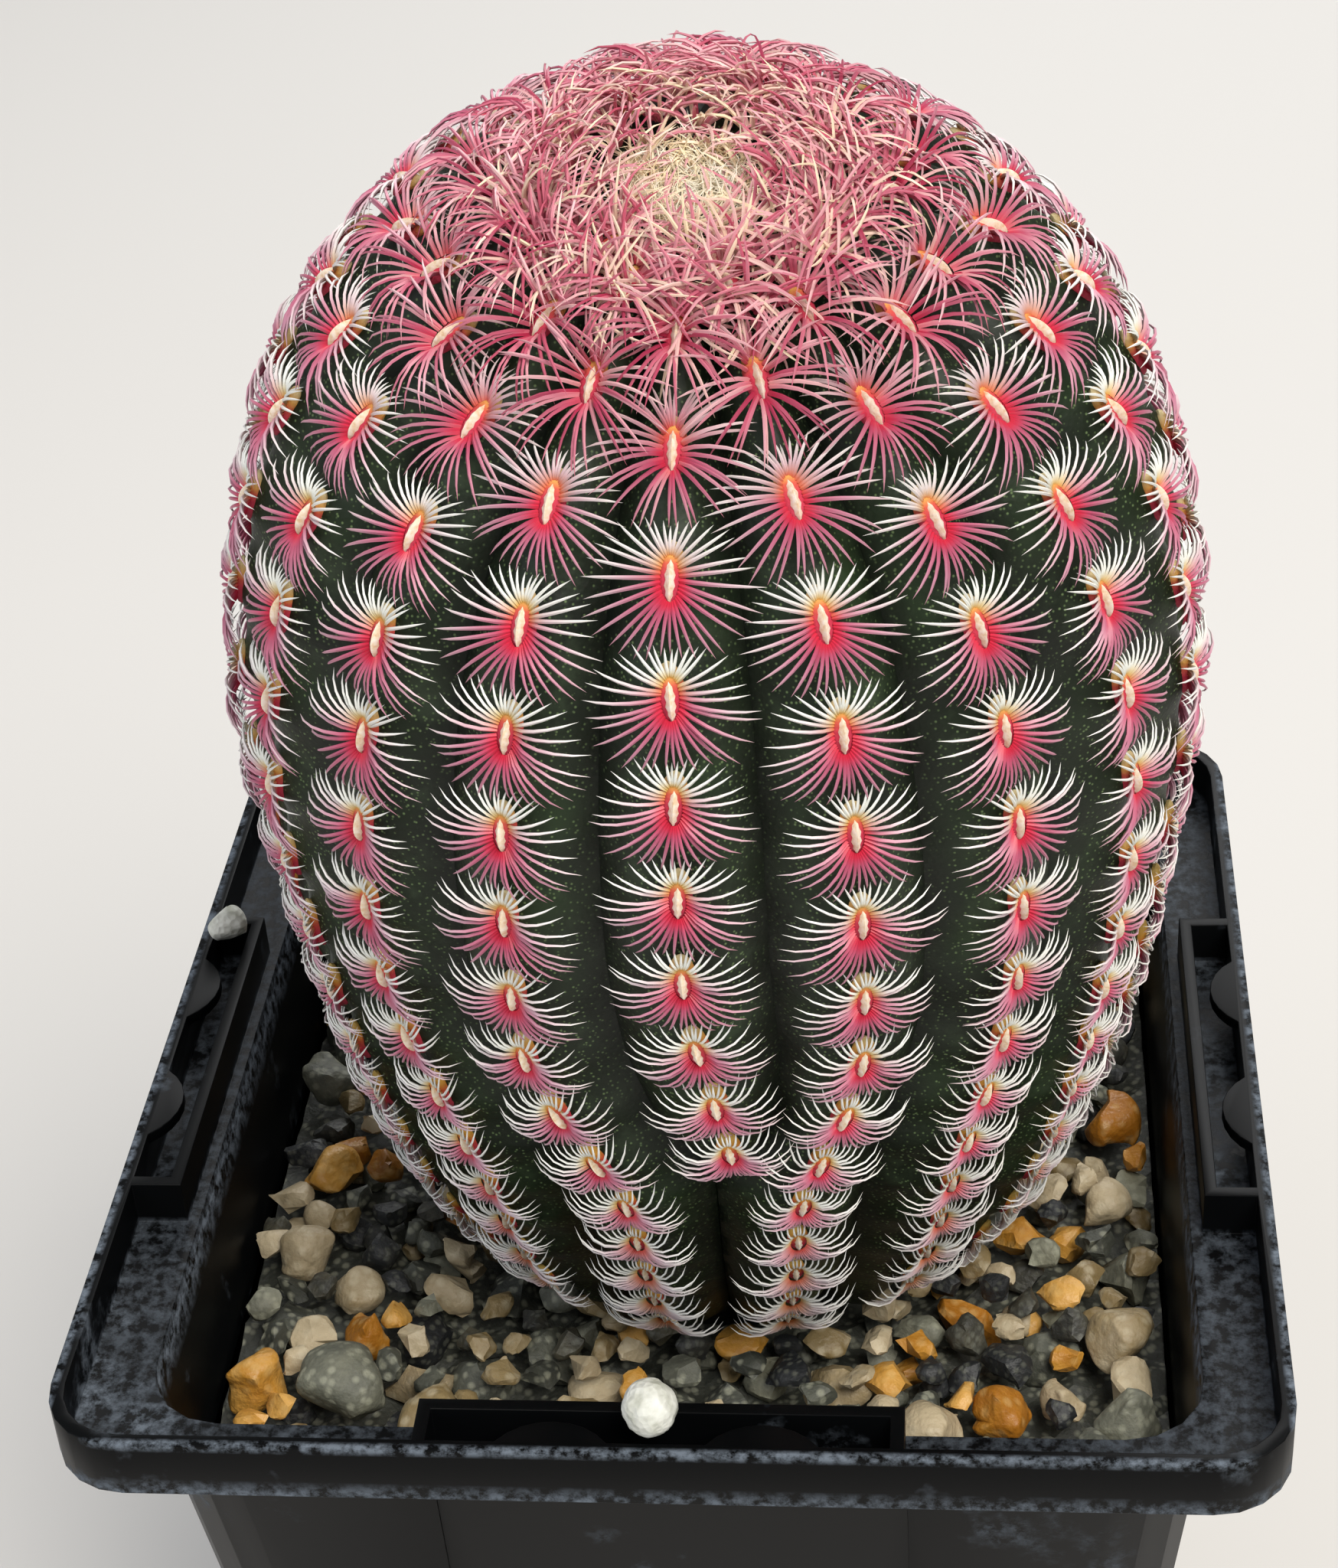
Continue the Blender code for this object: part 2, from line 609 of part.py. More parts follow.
def settle_pebbles():
    """Places (x, y, diameter) on the bed, spread round the plant without touching."""
    reach = inner_width(BED_TOP) / 2 - CLEARANCE
    keep_off = plant_reach(GRAVEL_DROP)
    places = [[x * reach, y * reach, size] for x, y, size, _ in PEBBLES]
    bed_area = 4 * reach ** 2 - math.pi * keep_off ** 2
    covered = sum(math.pi / 4 * place[2] ** 2 for place in places)
    shrink = min(1.0, math.sqrt(PEBBLE_COVER * bed_area / covered))
    for place in places:
        place[2] *= shrink
    for _ in range(SETTLE_ROUNDS):
        for index, place in enumerate(places):
            for other in places[index + 1:]:
                apart = Vector((other[0] - place[0], other[1] - place[1]))
                short = (place[2] + other[2]) / 2 + CLEARANCE - apart.length
                if short > 0:
                    push = apart.normalized() * short / 2
                    place[0] -= push.x
                    place[1] -= push.y
                    other[0] += push.x
                    other[1] += push.y
            hold_in_band(place, reach, keep_off)
    return places


def hold_in_band(place, reach, keep_off):
    """Moves a pebble off the plant's foot and inside the pot's wall."""
    half = place[2] / 2 + CLEARANCE
    out = Vector((place[0] - PLANT_OFFSET[0], place[1] - PLANT_OFFSET[1]))
    if out.length < keep_off + half:
        out = out.normalized() * (keep_off + half)
        place[0] = PLANT_OFFSET[0] + out.x
        place[1] = PLANT_OFFSET[1] + out.y
    for side in (0, 1):
        place[side] = clamp(place[side], -reach + half, reach - half)


def plant_reach(drop):
    """Widest radius of the spines below a height over the bed, plus the lean."""
    top = PEBBLE_LARGEST * 0.9 - PLANT_LIFT
    widest = max(point.x for _, point, _ in OUTLINE_TABLE if point.y < max(top, MM))
    return widest + drop * math.tan(math.radians(1.6))


def make_fill(group, axis):
    bed_foot = BED_TOP - GRAVEL_DEPTH
    hollow = root_hollow(axis)
    soil = fill_block("substrate", FOOT_RISE + FLOOR + CLEARANCE, bed_foot - CLEARANCE, group)
    add_boolean(soil, hollow, "DIFFERENCE")
    soil.data.materials.append(soil_finish)
    bed = fill_block("gravel_bed", bed_foot, BED_TOP, group)
    add_boolean(bed, hollow, "DIFFERENCE")
    bed.data.materials.append(gravel_finish)
    rng = random.Random(5)
    for number, (x, y, size) in enumerate(settle_pebbles(), start=1):
        finish = PEBBLES[number - 1][3]
        mesh = stone_mesh(rng, size, "pebble")
        lowest = min(vert.co.z for vert in mesh.vertices)
        stone = add_object(f"pebble_{number:02d}", mesh, group)
        stone.location = (x, y, BED_TOP + CLEARANCE - lowest)
        stone.data.materials.append(pebble_finishes[finish])


def make_slot_finds(group):
    """The perlite bead and the white chip that lie in the mouths of two label slots."""
    middle = POT_WIDTH / 2 - COLLAR_WALL - SLOT_WIDTH / 2
    rng = random.Random(3)
    for name, diameter, angle, along in (
            ("perlite_bead", BEAD_DIAMETER, -math.pi / 2, -0.4 * MM),
            ("white_chip", CHIP_DIAMETER, math.pi, -(SLOT_LENGTH - CHIP_DIAMETER) / 2 + CLEARANCE)):
        radius = diameter / 2
        rise = math.sqrt(max(radius ** 2 - (SLOT_WIDTH / 2) ** 2, 0.0)) + 2 * CLEARANCE
        place = Vector((middle, along, POT_HEIGHT + rise))
        place.rotate(Euler((0, 0, angle)))
        bm = bmesh.new()
        bmesh.ops.create_icosphere(bm, subdivisions=2 if name == "perlite_bead" else 1,
                                   radius=radius)
        if name == "white_chip":
            for vert in bm.verts:
                vert.co *= rng.uniform(0.88, 1.0)
        find = add_object(name, mesh_from(bm, name, 60), group)
        find.location = place
        find.data.materials.append(bead_finish)


# ---- Build --------------------------------------------------------------------------------
clear_scene()
parts = collection("potted round cactus")
cutters = collection("cutters")
OUTLINE_TABLE = outline_table()

pot_finish = material("black plastic", (0.012, 0.013, 0.015), 0.45)
soil_finish = material("potting substrate", (0.035, 0.024, 0.016), 0.95)
gravel_finish = material("mineral gravel", (0.075, 0.078, 0.062), 0.85)
skin_finish = material("cactus skin", (0.020, 0.045, 0.018), 0.55)
spine_finish = material("pink spines", (0.52, 0.13, 0.17), 0.5)
crown_finish = material("crown spines", (0.62, 0.22, 0.20), 0.5)
bead_finish = material("white mineral", (0.62, 0.64, 0.52), 0.8)
pebble_finishes = {
    "grey granite": material("grey granite", (0.13, 0.14, 0.12), 0.8),
    "cream quartz": material("cream quartz", (0.50, 0.33, 0.16), 0.7),
    "orange quartz": material("orange quartz", (0.58, 0.22, 0.03), 0.7),
    "dark stone": material("dark stone", (0.045, 0.05, 0.048), 0.8),
}

plant_axis = bpy.data.objects.new("plant_axis", None)
parts.objects.link(plant_axis)
plant_axis.location = (*PLANT_OFFSET, BED_TOP + PLANT_LIFT)
plant_axis.rotation_euler = (*PLANT_LEAN, 0.0)

make_pot(parts).data.materials.append(pot_finish)
make_fill(parts, plant_axis)
make_stem(parts, plant_axis).data.materials.append(skin_finish)
make_spine_rows(parts, plant_axis)
make_crown(parts, plant_axis).data.materials.append(crown_finish)
make_slot_finds(parts)
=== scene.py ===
# Round cactus with combed pink spines, in a square nursery pot topped with mineral gravel.
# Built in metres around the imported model, which stays as it is.
import math
import random

import bpy
import numpy
from mathutils import Euler, Matrix, Vector


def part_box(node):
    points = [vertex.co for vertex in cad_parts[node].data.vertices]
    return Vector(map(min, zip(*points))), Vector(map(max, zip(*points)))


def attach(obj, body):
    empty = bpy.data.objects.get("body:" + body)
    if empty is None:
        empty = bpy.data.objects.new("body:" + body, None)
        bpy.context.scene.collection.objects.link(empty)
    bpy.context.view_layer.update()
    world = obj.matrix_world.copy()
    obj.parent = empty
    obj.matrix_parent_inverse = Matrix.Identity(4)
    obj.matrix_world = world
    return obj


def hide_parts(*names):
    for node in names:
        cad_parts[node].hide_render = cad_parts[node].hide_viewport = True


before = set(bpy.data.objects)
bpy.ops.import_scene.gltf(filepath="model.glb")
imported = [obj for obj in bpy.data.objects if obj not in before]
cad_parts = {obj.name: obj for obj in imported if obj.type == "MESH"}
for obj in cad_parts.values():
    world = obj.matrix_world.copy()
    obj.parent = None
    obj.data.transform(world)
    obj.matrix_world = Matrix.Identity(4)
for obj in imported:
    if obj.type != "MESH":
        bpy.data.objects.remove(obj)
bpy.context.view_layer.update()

mm = 0.001


# Small helpers

def mix(a, b, share):
    return a + (b - a) * share


def smoothStep(value, low, high):
    share = numpy.clip((value - low) / (high - low), 0.0, 1.0)
    return share * share * (3 - 2 * share)


def makeActive(piece):  # only this piece is selected, so an operator touches nothing else
    if bpy.context.mode != "OBJECT":
        bpy.ops.object.mode_set(mode="OBJECT")
    bpy.ops.object.select_all(action="DESELECT")
    piece.select_set(True)
    bpy.context.view_layer.objects.active = piece


def startPrimitive():
    if bpy.context.mode != "OBJECT":
        bpy.ops.object.mode_set(mode="OBJECT")
    bpy.ops.object.select_all(action="DESELECT")


def applyModifier(piece, kind, **settings):
    makeActive(piece)
    modifier = piece.modifiers.new(kind.lower(), kind)
    for name, value in settings.items():
        setattr(modifier, name, value)
    bpy.ops.object.modifier_apply(modifier=modifier.name)


def finishPiece(piece, name, material, replaced=()):
    piece.name = name
    piece.data.name = name
    piece.data.materials.clear()
    piece.data.materials.append(material)
    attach(piece, "root")
    if replaced:
        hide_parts(*replaced)
    return piece


def takeTemplate(piece):  # keeps a modelled shape's points and faces, and removes the model itself
    mesh = piece.data
    points = numpy.empty(len(mesh.vertices) * 3)
    mesh.vertices.foreach_get("co", points)
    faces = [tuple(face.vertices) for face in mesh.polygons]
    bpy.data.objects.remove(piece, do_unlink=True)
    return {"points": points.reshape(-1, 3), "faces": faces}


def meshPiece(name, points, faces, smoothAngle=None):
    mesh = bpy.data.meshes.new(name)
    mesh.from_pydata(numpy.asarray(points).reshape(-1, 3).tolist(), [], faces)
    piece = bpy.data.objects.new(name, mesh)
    bpy.context.scene.collection.objects.link(piece)
    if smoothAngle is not None:
        makeActive(piece)
        bpy.ops.object.shade_smooth_by_angle(angle=math.radians(smoothAngle))
    return piece


def copyTemplate(name, template, placed, smoothAngle=None):  # placed holds every copy's points
    size = len(template["points"])
    faces = [tuple(corner + copy * size for corner in face)
             for copy in range(len(placed)) for face in template["faces"]]
    return meshPiece(name, placed, faces, smoothAngle)


def paintPoints(piece, name, values):  # a number on each point, which the material reads
    attribute = piece.data.attributes.new(name, "FLOAT", "POINT")
    attribute.data.foreach_set("value", numpy.asarray(values, dtype=numpy.float32).ravel())


def linearColour(code):  # sRGB hex to the linear colour that a shader wants
    channels = [int(code[start:start + 2], 16) / 255 for start in (1, 3, 5)]
    linear = [c / 12.92 if c <= 0.04045 else ((c + 0.055) / 1.055) ** 2.4 for c in channels]
    return (*linear, 1.0)


def addNode(tree, kind, inputs=None, stops=None, **settings):  # links a socket, sets anything else
    node = tree.nodes.new(kind)
    for name, value in settings.items():
        setattr(node, name, value)
    for name, value in (inputs or {}).items():
        if isinstance(value, bpy.types.NodeSocket):
            tree.links.new(value, node.inputs[name])
        else:
            node.inputs[name].default_value = linearColour(value) if isinstance(value, str) else value
    for index, (place, code) in enumerate(stops or ()):
        elements = node.color_ramp.elements
        element = elements[index] if index < 2 else elements.new(place)
        element.position = place
        element.color = linearColour(code)
    return node


def newMaterial(name, roughness, **settings):
    material = bpy.data.materials.new(name)
    material.use_nodes = True
    tree = material.node_tree
    shader = tree.nodes["Principled BSDF"]
    shader.inputs["Roughness"].default_value = roughness
    for socket, value in settings.items():
        shader.inputs[socket.replace("_", " ")].default_value = value
    return material, tree, shader


# Camera, light and floor

cameraView = {
    "place": (22.70 * mm, -194.01 * mm, 242.30 * mm),
    "down": 34.45,      # degrees under the horizon
    "across": -6.97,    # degrees to the left of straight back
    "roll": -4.14,
    "lens": 70.25,      # on a sensor that is 36 high
}


def setCamera():
    down, across, roll = (math.radians(cameraView[key]) for key in ("down", "across", "roll"))
    ahead = Vector((math.sin(across) * math.cos(down), math.cos(across) * math.cos(down),
                    -math.sin(down)))
    level = Vector((math.cos(across), -math.sin(across), 0))
    above = level.cross(ahead)
    right = level * math.cos(roll) + above * math.sin(roll)
    up = above * math.cos(roll) - level * math.sin(roll)
    lens = bpy.data.cameras.new("camera")
    lens.sensor_fit = "VERTICAL"
    lens.sensor_height = 36
    lens.lens = cameraView["lens"]
    lens.clip_start = 10 * mm
    camera = bpy.data.objects.new("camera", lens)
    bpy.context.scene.collection.objects.link(camera)
    turn = Matrix((right, up, -ahead)).transposed().to_4x4()
    camera.matrix_world = Matrix.Translation(cameraView["place"]) @ turn
    bpy.context.scene.camera = camera


studio = {
    "floorSize": 4.0,
    "floorColour": "#D9D6D2",
    "skyColour": "#EEF2F6",
    "skyStrength": 0.36,
    "lamps": (  # name, place, size, watts, colour
        ("window", (0.34, -0.42, 0.86), 0.60, 9.5, "#FFFBF4"),
        ("fill", (-0.62, -0.42, 0.50), 0.60, 2.0, "#F2F6FF"),
        ("back", (0.10, 0.70, 0.60), 0.50, 3.0, "#FFFFFF"),
    ),
}


def setStudio():
    world = bpy.data.worlds.new("studio air")
    world.use_nodes = True
    sky = world.node_tree.nodes["Background"]
    sky.inputs["Color"].default_value = linearColour(studio["skyColour"])
    sky.inputs["Strength"].default_value = studio["skyStrength"]
    bpy.context.scene.world = world
    bpy.context.scene.view_settings.view_transform = "Standard"
    for name, place, size, watts, code in studio["lamps"]:
        lamp = bpy.data.lights.new(name, "AREA")
        lamp.shape = "DISK"
        lamp.size = size
        lamp.energy = watts
        lamp.color = linearColour(code)[:3]
        holder = bpy.data.objects.new(name, lamp)
        bpy.context.scene.collection.objects.link(holder)
        aim = Vector((0, 0, 100 * mm)) - Vector(place)
        holder.matrix_world = Matrix.Translation(place) @ aim.to_track_quat("-Z", "Y").to_matrix().to_4x4()
    startPrimitive()
    bpy.ops.mesh.primitive_plane_add(size=studio["floorSize"], location=(0, 0, -0.2 * mm))
    floor = bpy.context.object
    floor.name = "studio_floor"
    material, tree, shader = newMaterial("matt paper floor", 0.9)
    shader.inputs["Base Color"].default_value = linearColour(studio["floorColour"])
    floor.data.materials.append(material)


setCamera()
setStudio()
print("camera, light and floor are set")


# Plant measures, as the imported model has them

plant = {
    "height": 96 * mm,            # from the foot of the spines to where the ribs meet the crown
    "width": 71.8 * mm,           # across the spines at the widest
    "offset": (2.55 * mm, 0.0),
    "lean": (-1.3, 1.2),          # degrees about X and Y
    "bend": 19.0,                 # degrees that it has grown towards the front, foot to crown
    "lift": 2.5 * mm,             # its foot stands this far over the gravel bed
    "spineLayer": 1.7 * mm,       # from a rib's crest to the spine tips
    "crownLayer": 1.3 * mm,       # added to it at the growing point
    "crownDip": 1.4 * mm,         # the growing point sinks this much more
    "ribs": 19,                   # one of them ends part of the way down
    "ribDepth": 2.6 * mm,
    "crownRadius": 8 * mm,
    "shortRibEnd": 0.315,         # share of the height where the front rib ends
    "closing": (0.27, 0.46),      # its neighbours close over it between these heights
    "closingSpread": 0.02,
    "frontSpread": 0.047,         # radians: the ribs in front stand wider than those behind
    "footSpread": 0.10,           # the same at the foot
    "neckRadius": 15 * mm,
    "rootDepth": 23 * mm,
    "outline": (                  # spine tips: share of half the width, share of the height
        (0.620, 0.000), (0.805, 0.120), (0.926, 0.280), (0.983, 0.450), (1.000, 0.600),
        (0.942, 0.745), (0.812, 0.867), (0.555, 0.972), (0.300, 1.030), (0.000, 1.046),
    ),
}

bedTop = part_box("gravel_bed")[1].z
plantAxis = (Matrix.Translation((*plant["offset"], bedTop + plant["lift"]))
             @ Euler([math.radians(turn) for turn in (*plant["lean"], 0)]).to_matrix().to_4x4())
plantTurn = numpy.array(plantAxis.to_3x3())
plantPlace = numpy.array(plantAxis.translation)


def toFrame(points):  # from the plant's own axis to the shared frame
    return numpy.asarray(points) @ plantTurn.T + plantPlace


def outlineTable(stepsEach=12):  # arc length from the crown, point and outward normal
    knots = [numpy.array((share * plant["width"] / 2, level * plant["height"]))
             for share, level in plant["outline"]]
    knots = [knots[0] * 2 - knots[1]] + knots + [knots[-2] * (-1, 1)]
    points = []
    for before, start, end, after in zip(knots, knots[1:], knots[2:], knots[3:]):
        for index in range(stepsEach):
            t = index / stepsEach
            points.append(0.5 * (2 * start + (end - before) * t
                                 + (2 * before - 5 * start + 4 * end - after) * t * t
                                 + (3 * start - before - 3 * end + after) * t ** 3))
    points = numpy.array(points + [knots[-2]])[::-1]
    lengths = numpy.linalg.norm(numpy.diff(points, axis=0), axis=1)
    along = numpy.gradient(points, axis=0)
    along /= numpy.linalg.norm(along, axis=1)[:, None]
    return {"arc": numpy.concatenate(([0], numpy.cumsum(lengths))), "radius": points[:, 0],
            "height": points[:, 1], "out": -along[:, 1], "rise": along[:, 0]}


outline = outlineTable()
arcEnd = outline["arc"][-1]


def readOutline(column, distance):
    return numpy.interp(distance, outline["arc"], outline[column])


def levelAt(distance):
    return readOutline("height", distance) / plant["height"]


def distanceAtLevel(level):
    return float(numpy.interp(-level * plant["height"], -outline["height"], outline["arc"]))


def ribAngle(rib, level):  # azimuth of a crest, from the front towards +X; rib 0 is the short one
    if rib == 0:
        return math.radians(5.0) * smoothStep(level, 0.60, 0.28)
    top = rib * math.tau / plant["ribs"]
    top += plant["frontSpread"] * math.sin(top)
    side = 1 if rib > 0 else -1
    foot = side * (abs(rib) - 0.5) * math.tau / (plant["ribs"] - 1) + math.radians(1.5)
    foot += plant["footSpread"] * math.sin(foot)
    low = plant["closing"][0] - plant["closingSpread"] * abs(rib)
    high = plant["closing"][1] + plant["closingSpread"] * abs(rib)
    return mix(foot, top, smoothStep(level, low, high))


def shortRibShare(level):
    return numpy.maximum(0.02, smoothStep(level, plant["shortRibEnd"] - 0.05, plant["shortRibEnd"] + 0.06))


lastRib = (plant["ribs"] - 1) // 2
allRibs = range(-lastRib, lastRib + 1)


def ribEdges(rib, level):  # azimuths of the two grooves beside a rib
    closed = (ribAngle(-1, level) + ribAngle(1, level)) / 2
    edges = []
    for a, b in ((rib - 1, rib), (rib, rib + 1)):
        if a < -lastRib:
            edge = (ribAngle(lastRib, level) - math.tau + ribAngle(b, level)) / 2
        elif b > lastRib:
            edge = (ribAngle(a, level) + ribAngle(-lastRib, level) + math.tau) / 2
        else:
            edge = (ribAngle(a, level) + ribAngle(b, level)) / 2
        edges.append(mix(closed, edge, shortRibShare(level)) if 0 in (a, b) else edge)
    return edges


def ribAzimuth(rib, level, across):  # -1 and 1 are the grooves, 0 is the crest
    low, high = ribEdges(rib, level)
    crest = numpy.clip(ribAngle(rib, level), mix(low, high, 0.3), mix(low, high, 0.7))
    return mix(crest, high, across) if across > 0 else mix(crest, low, -across)


bendRate = math.radians(plant["bend"]) / plant["height"]


def bendPlant(points):  # carries points of the straight plant along as it bends to the front
    side, depth, height = (points[..., axis] for axis in range(3))
    turn = bendRate * numpy.maximum(height, 0)
    return numpy.stack((side, depth * numpy.cos(turn) - (1 - numpy.cos(turn)) / bendRate,
                        depth * numpy.sin(turn) + numpy.sin(turn) / bendRate + numpy.minimum(height, 0)),
                       axis=-1)


def surfacePoint(distance, azimuth, lift):  # lift is counted from the spine tips outwards
    radius = readOutline("radius", distance) + readOutline("out", distance) * lift
    height = readOutline("height", distance) + readOutline("rise", distance) * lift
    return bendPlant(numpy.stack((radius * numpy.sin(azimuth), -radius * numpy.cos(azimuth),
                                  height + 0 * azimuth), axis=-1))


def areoleStep(distance):
    if distance < 35 * mm:
        return mix(3.6, 8.3, smoothStep(distance, 4 * mm, 22 * mm)) * mm
    return mix(5.6, 8.3, smoothStep(distance, 86 * mm, 58 * mm)) * mm


def areoleDistances(rib):  # arc lengths from the crown of a rib's areoles
    anchors = {0: 46.6, 1: 42.4, -1: 42.8, 2: 47.0, -2: 48.2, 3: 43.6, -3: 45.2}
    found = [anchors.get(rib, 43.4 + 3.6 * (rib % 2) + 0.35 * (rib % 3)) * mm]
    last = distanceAtLevel(plant["shortRibEnd"] + 0.01) if rib == 0 else arcEnd - 4.5 * mm
    while found[-1] + areoleStep(found[-1]) < last:
        found.append(found[-1] + areoleStep(found[-1]))
    while found[0] - areoleStep(found[0]) > plant["crownRadius"]:
        found.insert(0, found[0] - areoleStep(found[0]))
    return numpy.array(found)


def skinLift(rib, distance, across):  # depth of the skin under the spine tips
    level = levelAt(distance)
    radius = readOutline("radius", distance)
    depth = numpy.minimum(plant["ribDepth"], math.tau * radius / plant["ribs"] * 0.42)
    share = shortRibShare(level) if rib == 0 else 1.0
    sunk = depth * (1 - share * (1 - abs(across) ** 1.6))
    layer = plant["spineLayer"] + plant["crownLayer"] * smoothStep(level, 0.93, 1.0)
    dip = plant["crownDip"] * numpy.exp(-(radius / (6.5 * mm)) ** 2)
    return -layer - sunk - dip


# Cactus body

body = {
    "acrossSteps": 12,      # columns on each rib
    "alongSteps": 150,      # rows from the root to the crown
    "rootShare": 0.08,      # share of the rows on the root and neck
    "tubercle": 0.55 * mm,  # swelling under each areole
}


def cactusSkin():
    # Epidermis under a thin glaucous wax: nearly black green, peppered with pale stomata, dull sheen; its grey-green
    # patches are part wax, part painted sheen, and its grooves hold painted shade
    material, tree, shader = newMaterial("cactus epidermis", 0.5, Specular_IOR_Level=0.32)
    place = addNode(tree, "ShaderNodeTexCoord").outputs["Object"]
    groove = addNode(tree, "ShaderNodeAttribute", attribute_name="groove").outputs["Fac"]
    drift = addNode(tree, "ShaderNodeTexNoise", {"Vector": place, "Scale": 1 / (7 * mm), "Detail": 4.0})
    base = addNode(tree, "ShaderNodeValToRGB", {"Fac": drift.outputs["Fac"]},
                   stops=((0.30, "#0B1407"), (0.72, "#22341A"), (0.52, "#15220F")))
    # real stomata stand about 0.1 mm apart, drawn at 0.38 mm so that they show
    pores = addNode(tree, "ShaderNodeTexVoronoi", {"Vector": place, "Scale": 1 / (0.38 * mm)})
    dots = addNode(tree, "ShaderNodeMapRange",
                   {"Value": pores.outputs["Distance"], "From Min": 0.30, "From Max": 0.10})
    # grey-green patches laid by noise: part wax coating, part painted sheen
    bloomAndSheenNoise = addNode(tree, "ShaderNodeTexNoise",
                         {"Vector": place, "Scale": 1 / (4.5 * mm), "Detail": 5.0, "Roughness": 0.65})
    bloomAndSheen = addNode(tree, "ShaderNodeMapRange",
                    {"Value": bloomAndSheenNoise.outputs["Fac"], "From Min": 0.52, "From Max": 0.74,
                     "To Max": 0.36})
    dotted = addNode(tree, "ShaderNodeMath",
                     {0: dots.outputs["Result"], 1: 0.62}, operation="MULTIPLY")
    first = addNode(tree, "ShaderNodeMix", {"Factor": dotted.outputs[0], 6: base.outputs["Color"],
                                            7: "#809A66"}, data_type="RGBA")
    second = addNode(tree, "ShaderNodeMix", {"Factor": bloomAndSheen.outputs["Result"], 6: first.outputs[2],
                                             7: "#4C5E44"}, data_type="RGBA")
    # painted shade: the skin is mixed towards near black in the grooves between the ribs
    paintedGrooveShade = addNode(tree, "ShaderNodeMapRange", {"Value": groove, "From Min": 0.55, "From Max": 1.0,
                                                "To Max": 0.85})
    third = addNode(tree, "ShaderNodeMix", {"Factor": paintedGrooveShade.outputs["Result"], 6: second.outputs[2],
                                            7: "#070C05"}, data_type="RGBA")
    tree.links.new(third.outputs[2], shader.inputs["Base Color"])
    bump = addNode(tree, "ShaderNodeBump", {"Height": pores.outputs["Distance"], "Strength": 0.35,
                                            "Distance": 0.06 * mm})
    tree.links.new(bump.outputs["Normal"], shader.inputs["Normal"])
    return material


def modelBody():
    columns = body["acrossSteps"] * plant["ribs"]
    rows = body["alongSteps"]
    rootRows = round(rows * body["rootShare"])
    startPrimitive()
    bpy.ops.mesh.primitive_grid_add(x_subdivisions=columns, y_subdivisions=rows, size=2)
    skin = bpy.context.object
    count = len(skin.data.vertices)
    flat = numpy.empty(count * 3)
    skin.data.vertices.foreach_get("co", flat)
    flat = flat.reshape(-1, 3)
    column = numpy.rint((flat[:, 0] + 1) / 2 * columns).astype(int)
    row = numpy.rint((flat[:, 1] + 1) / 2 * rows).astype(int)
    distances = numpy.linspace(arcEnd, 0.0, rows - rootRows + 1)
    levels = levelAt(distances)
    neck, depth = plant["neckRadius"], plant["rootDepth"]
    rootHeights = numpy.linspace(-depth, -0.6 * mm, rootRows + 1)[:-1]
    rootRadii = numpy.interp(rootHeights, (-depth, -0.93 * depth, -0.55 * depth, -0.3 * depth, 0),
                             (0, 0.22 * neck, 0.62 * neck, 0.92 * neck, 1.02 * neck))
    wrapped = numpy.empty((columns + 1, rows + 1, 3))
    grooved = numpy.empty((columns + 1, rows + 1))
    for index in range(columns + 1):
        place = index % columns / body["acrossSteps"]
        rib = int(place) - lastRib
        across = (place % 1) * 2 - 1
        azimuth = ribAzimuth(rib, levels, across)
        lift = skinLift(rib, distances, across)
        areoles = areoleDistances(rib)
        gap = numpy.abs(distances[:, None] - areoles[None, :]).min(axis=1)
        spacing = numpy.array([areoleStep(distance) for distance in distances])
        swell = numpy.cos(math.pi * numpy.clip(gap / spacing, 0, 0.5)) ** 2
        lift = lift + body["tubercle"] * (swell - 0.6) * (1 - across ** 2)
        wrapped[index, rootRows:] = surfacePoint(distances, azimuth, lift)
        grooved[index, rootRows:] = abs(across)
        turn = azimuth[0]
        wrapped[index, :rootRows, 0] = rootRadii * math.sin(turn)
        wrapped[index, :rootRows, 1] = -rootRadii * math.cos(turn)
        wrapped[index, :rootRows, 2] = rootHeights
        grooved[index, :rootRows] = 1.0
    wrapped[:, -1] = wrapped[:, -1].mean(axis=0)
    skin.data.vertices.foreach_set("co", toFrame(wrapped[column, row]).ravel())
    paintPoints(skin, "groove", grooved[column, row])
    makeActive(skin)
    bpy.ops.object.mode_set(mode="EDIT")
    bpy.ops.mesh.select_all(action="SELECT")
    bpy.ops.mesh.remove_doubles(threshold=0.01 * mm)
    bpy.ops.mesh.normals_make_consistent(inside=False)
    bpy.ops.object.mode_set(mode="OBJECT")
    bpy.ops.object.shade_smooth_by_angle(angle=math.radians(50))
    return finishPiece(skin, "cactus_body", cactusSkin(), ("stem",))


modelBody()
print("the ribbed body is rolled up")


# Areoles: where each one sits on its rib

def findAreoles(rib):
    distances = areoleDistances(rib)
    step = 0.5 * mm
    upper, lower = distances - step, distances + step
    places = surfacePoint(distances, ribAzimuth(rib, levelAt(distances), 0.0), skinLift(rib, distances, 0.0))
    up = (surfacePoint(upper, ribAzimuth(rib, levelAt(upper), 0.0), skinLift(rib, upper, 0.0))
          - surfacePoint(lower, ribAzimuth(rib, levelAt(lower), 0.0), skinLift(rib, lower, 0.0)))
    up /= numpy.linalg.norm(up, axis=1)[:, None]
    azimuth = ribAzimuth(rib, levelAt(distances), 0.0)
    out = surfacePoint(distances, azimuth, step) - surfacePoint(distances, azimuth, 0.0)
    out -= up * (out * up).sum(axis=1)[:, None]
    out /= numpy.linalg.norm(out, axis=1)[:, None]
    return {"place": places, "up": up, "out": out, "side": numpy.cross(up, out),
            "distance": distances, "level": levelAt(distances)}


def orient(local, spin):  # local points (side, up, out) of one shape, put on each areole
    turned = numpy.empty((len(spin), *local.shape))
    turned[:, :, 0] = numpy.cos(spin)[:, None] * local[:, 0] + numpy.sin(spin)[:, None] * local[:, 1]
    turned[:, :, 1] = numpy.cos(spin)[:, None] * local[:, 1] - numpy.sin(spin)[:, None] * local[:, 0]
    turned[:, :, 2] = local[:, 2]
    return turned


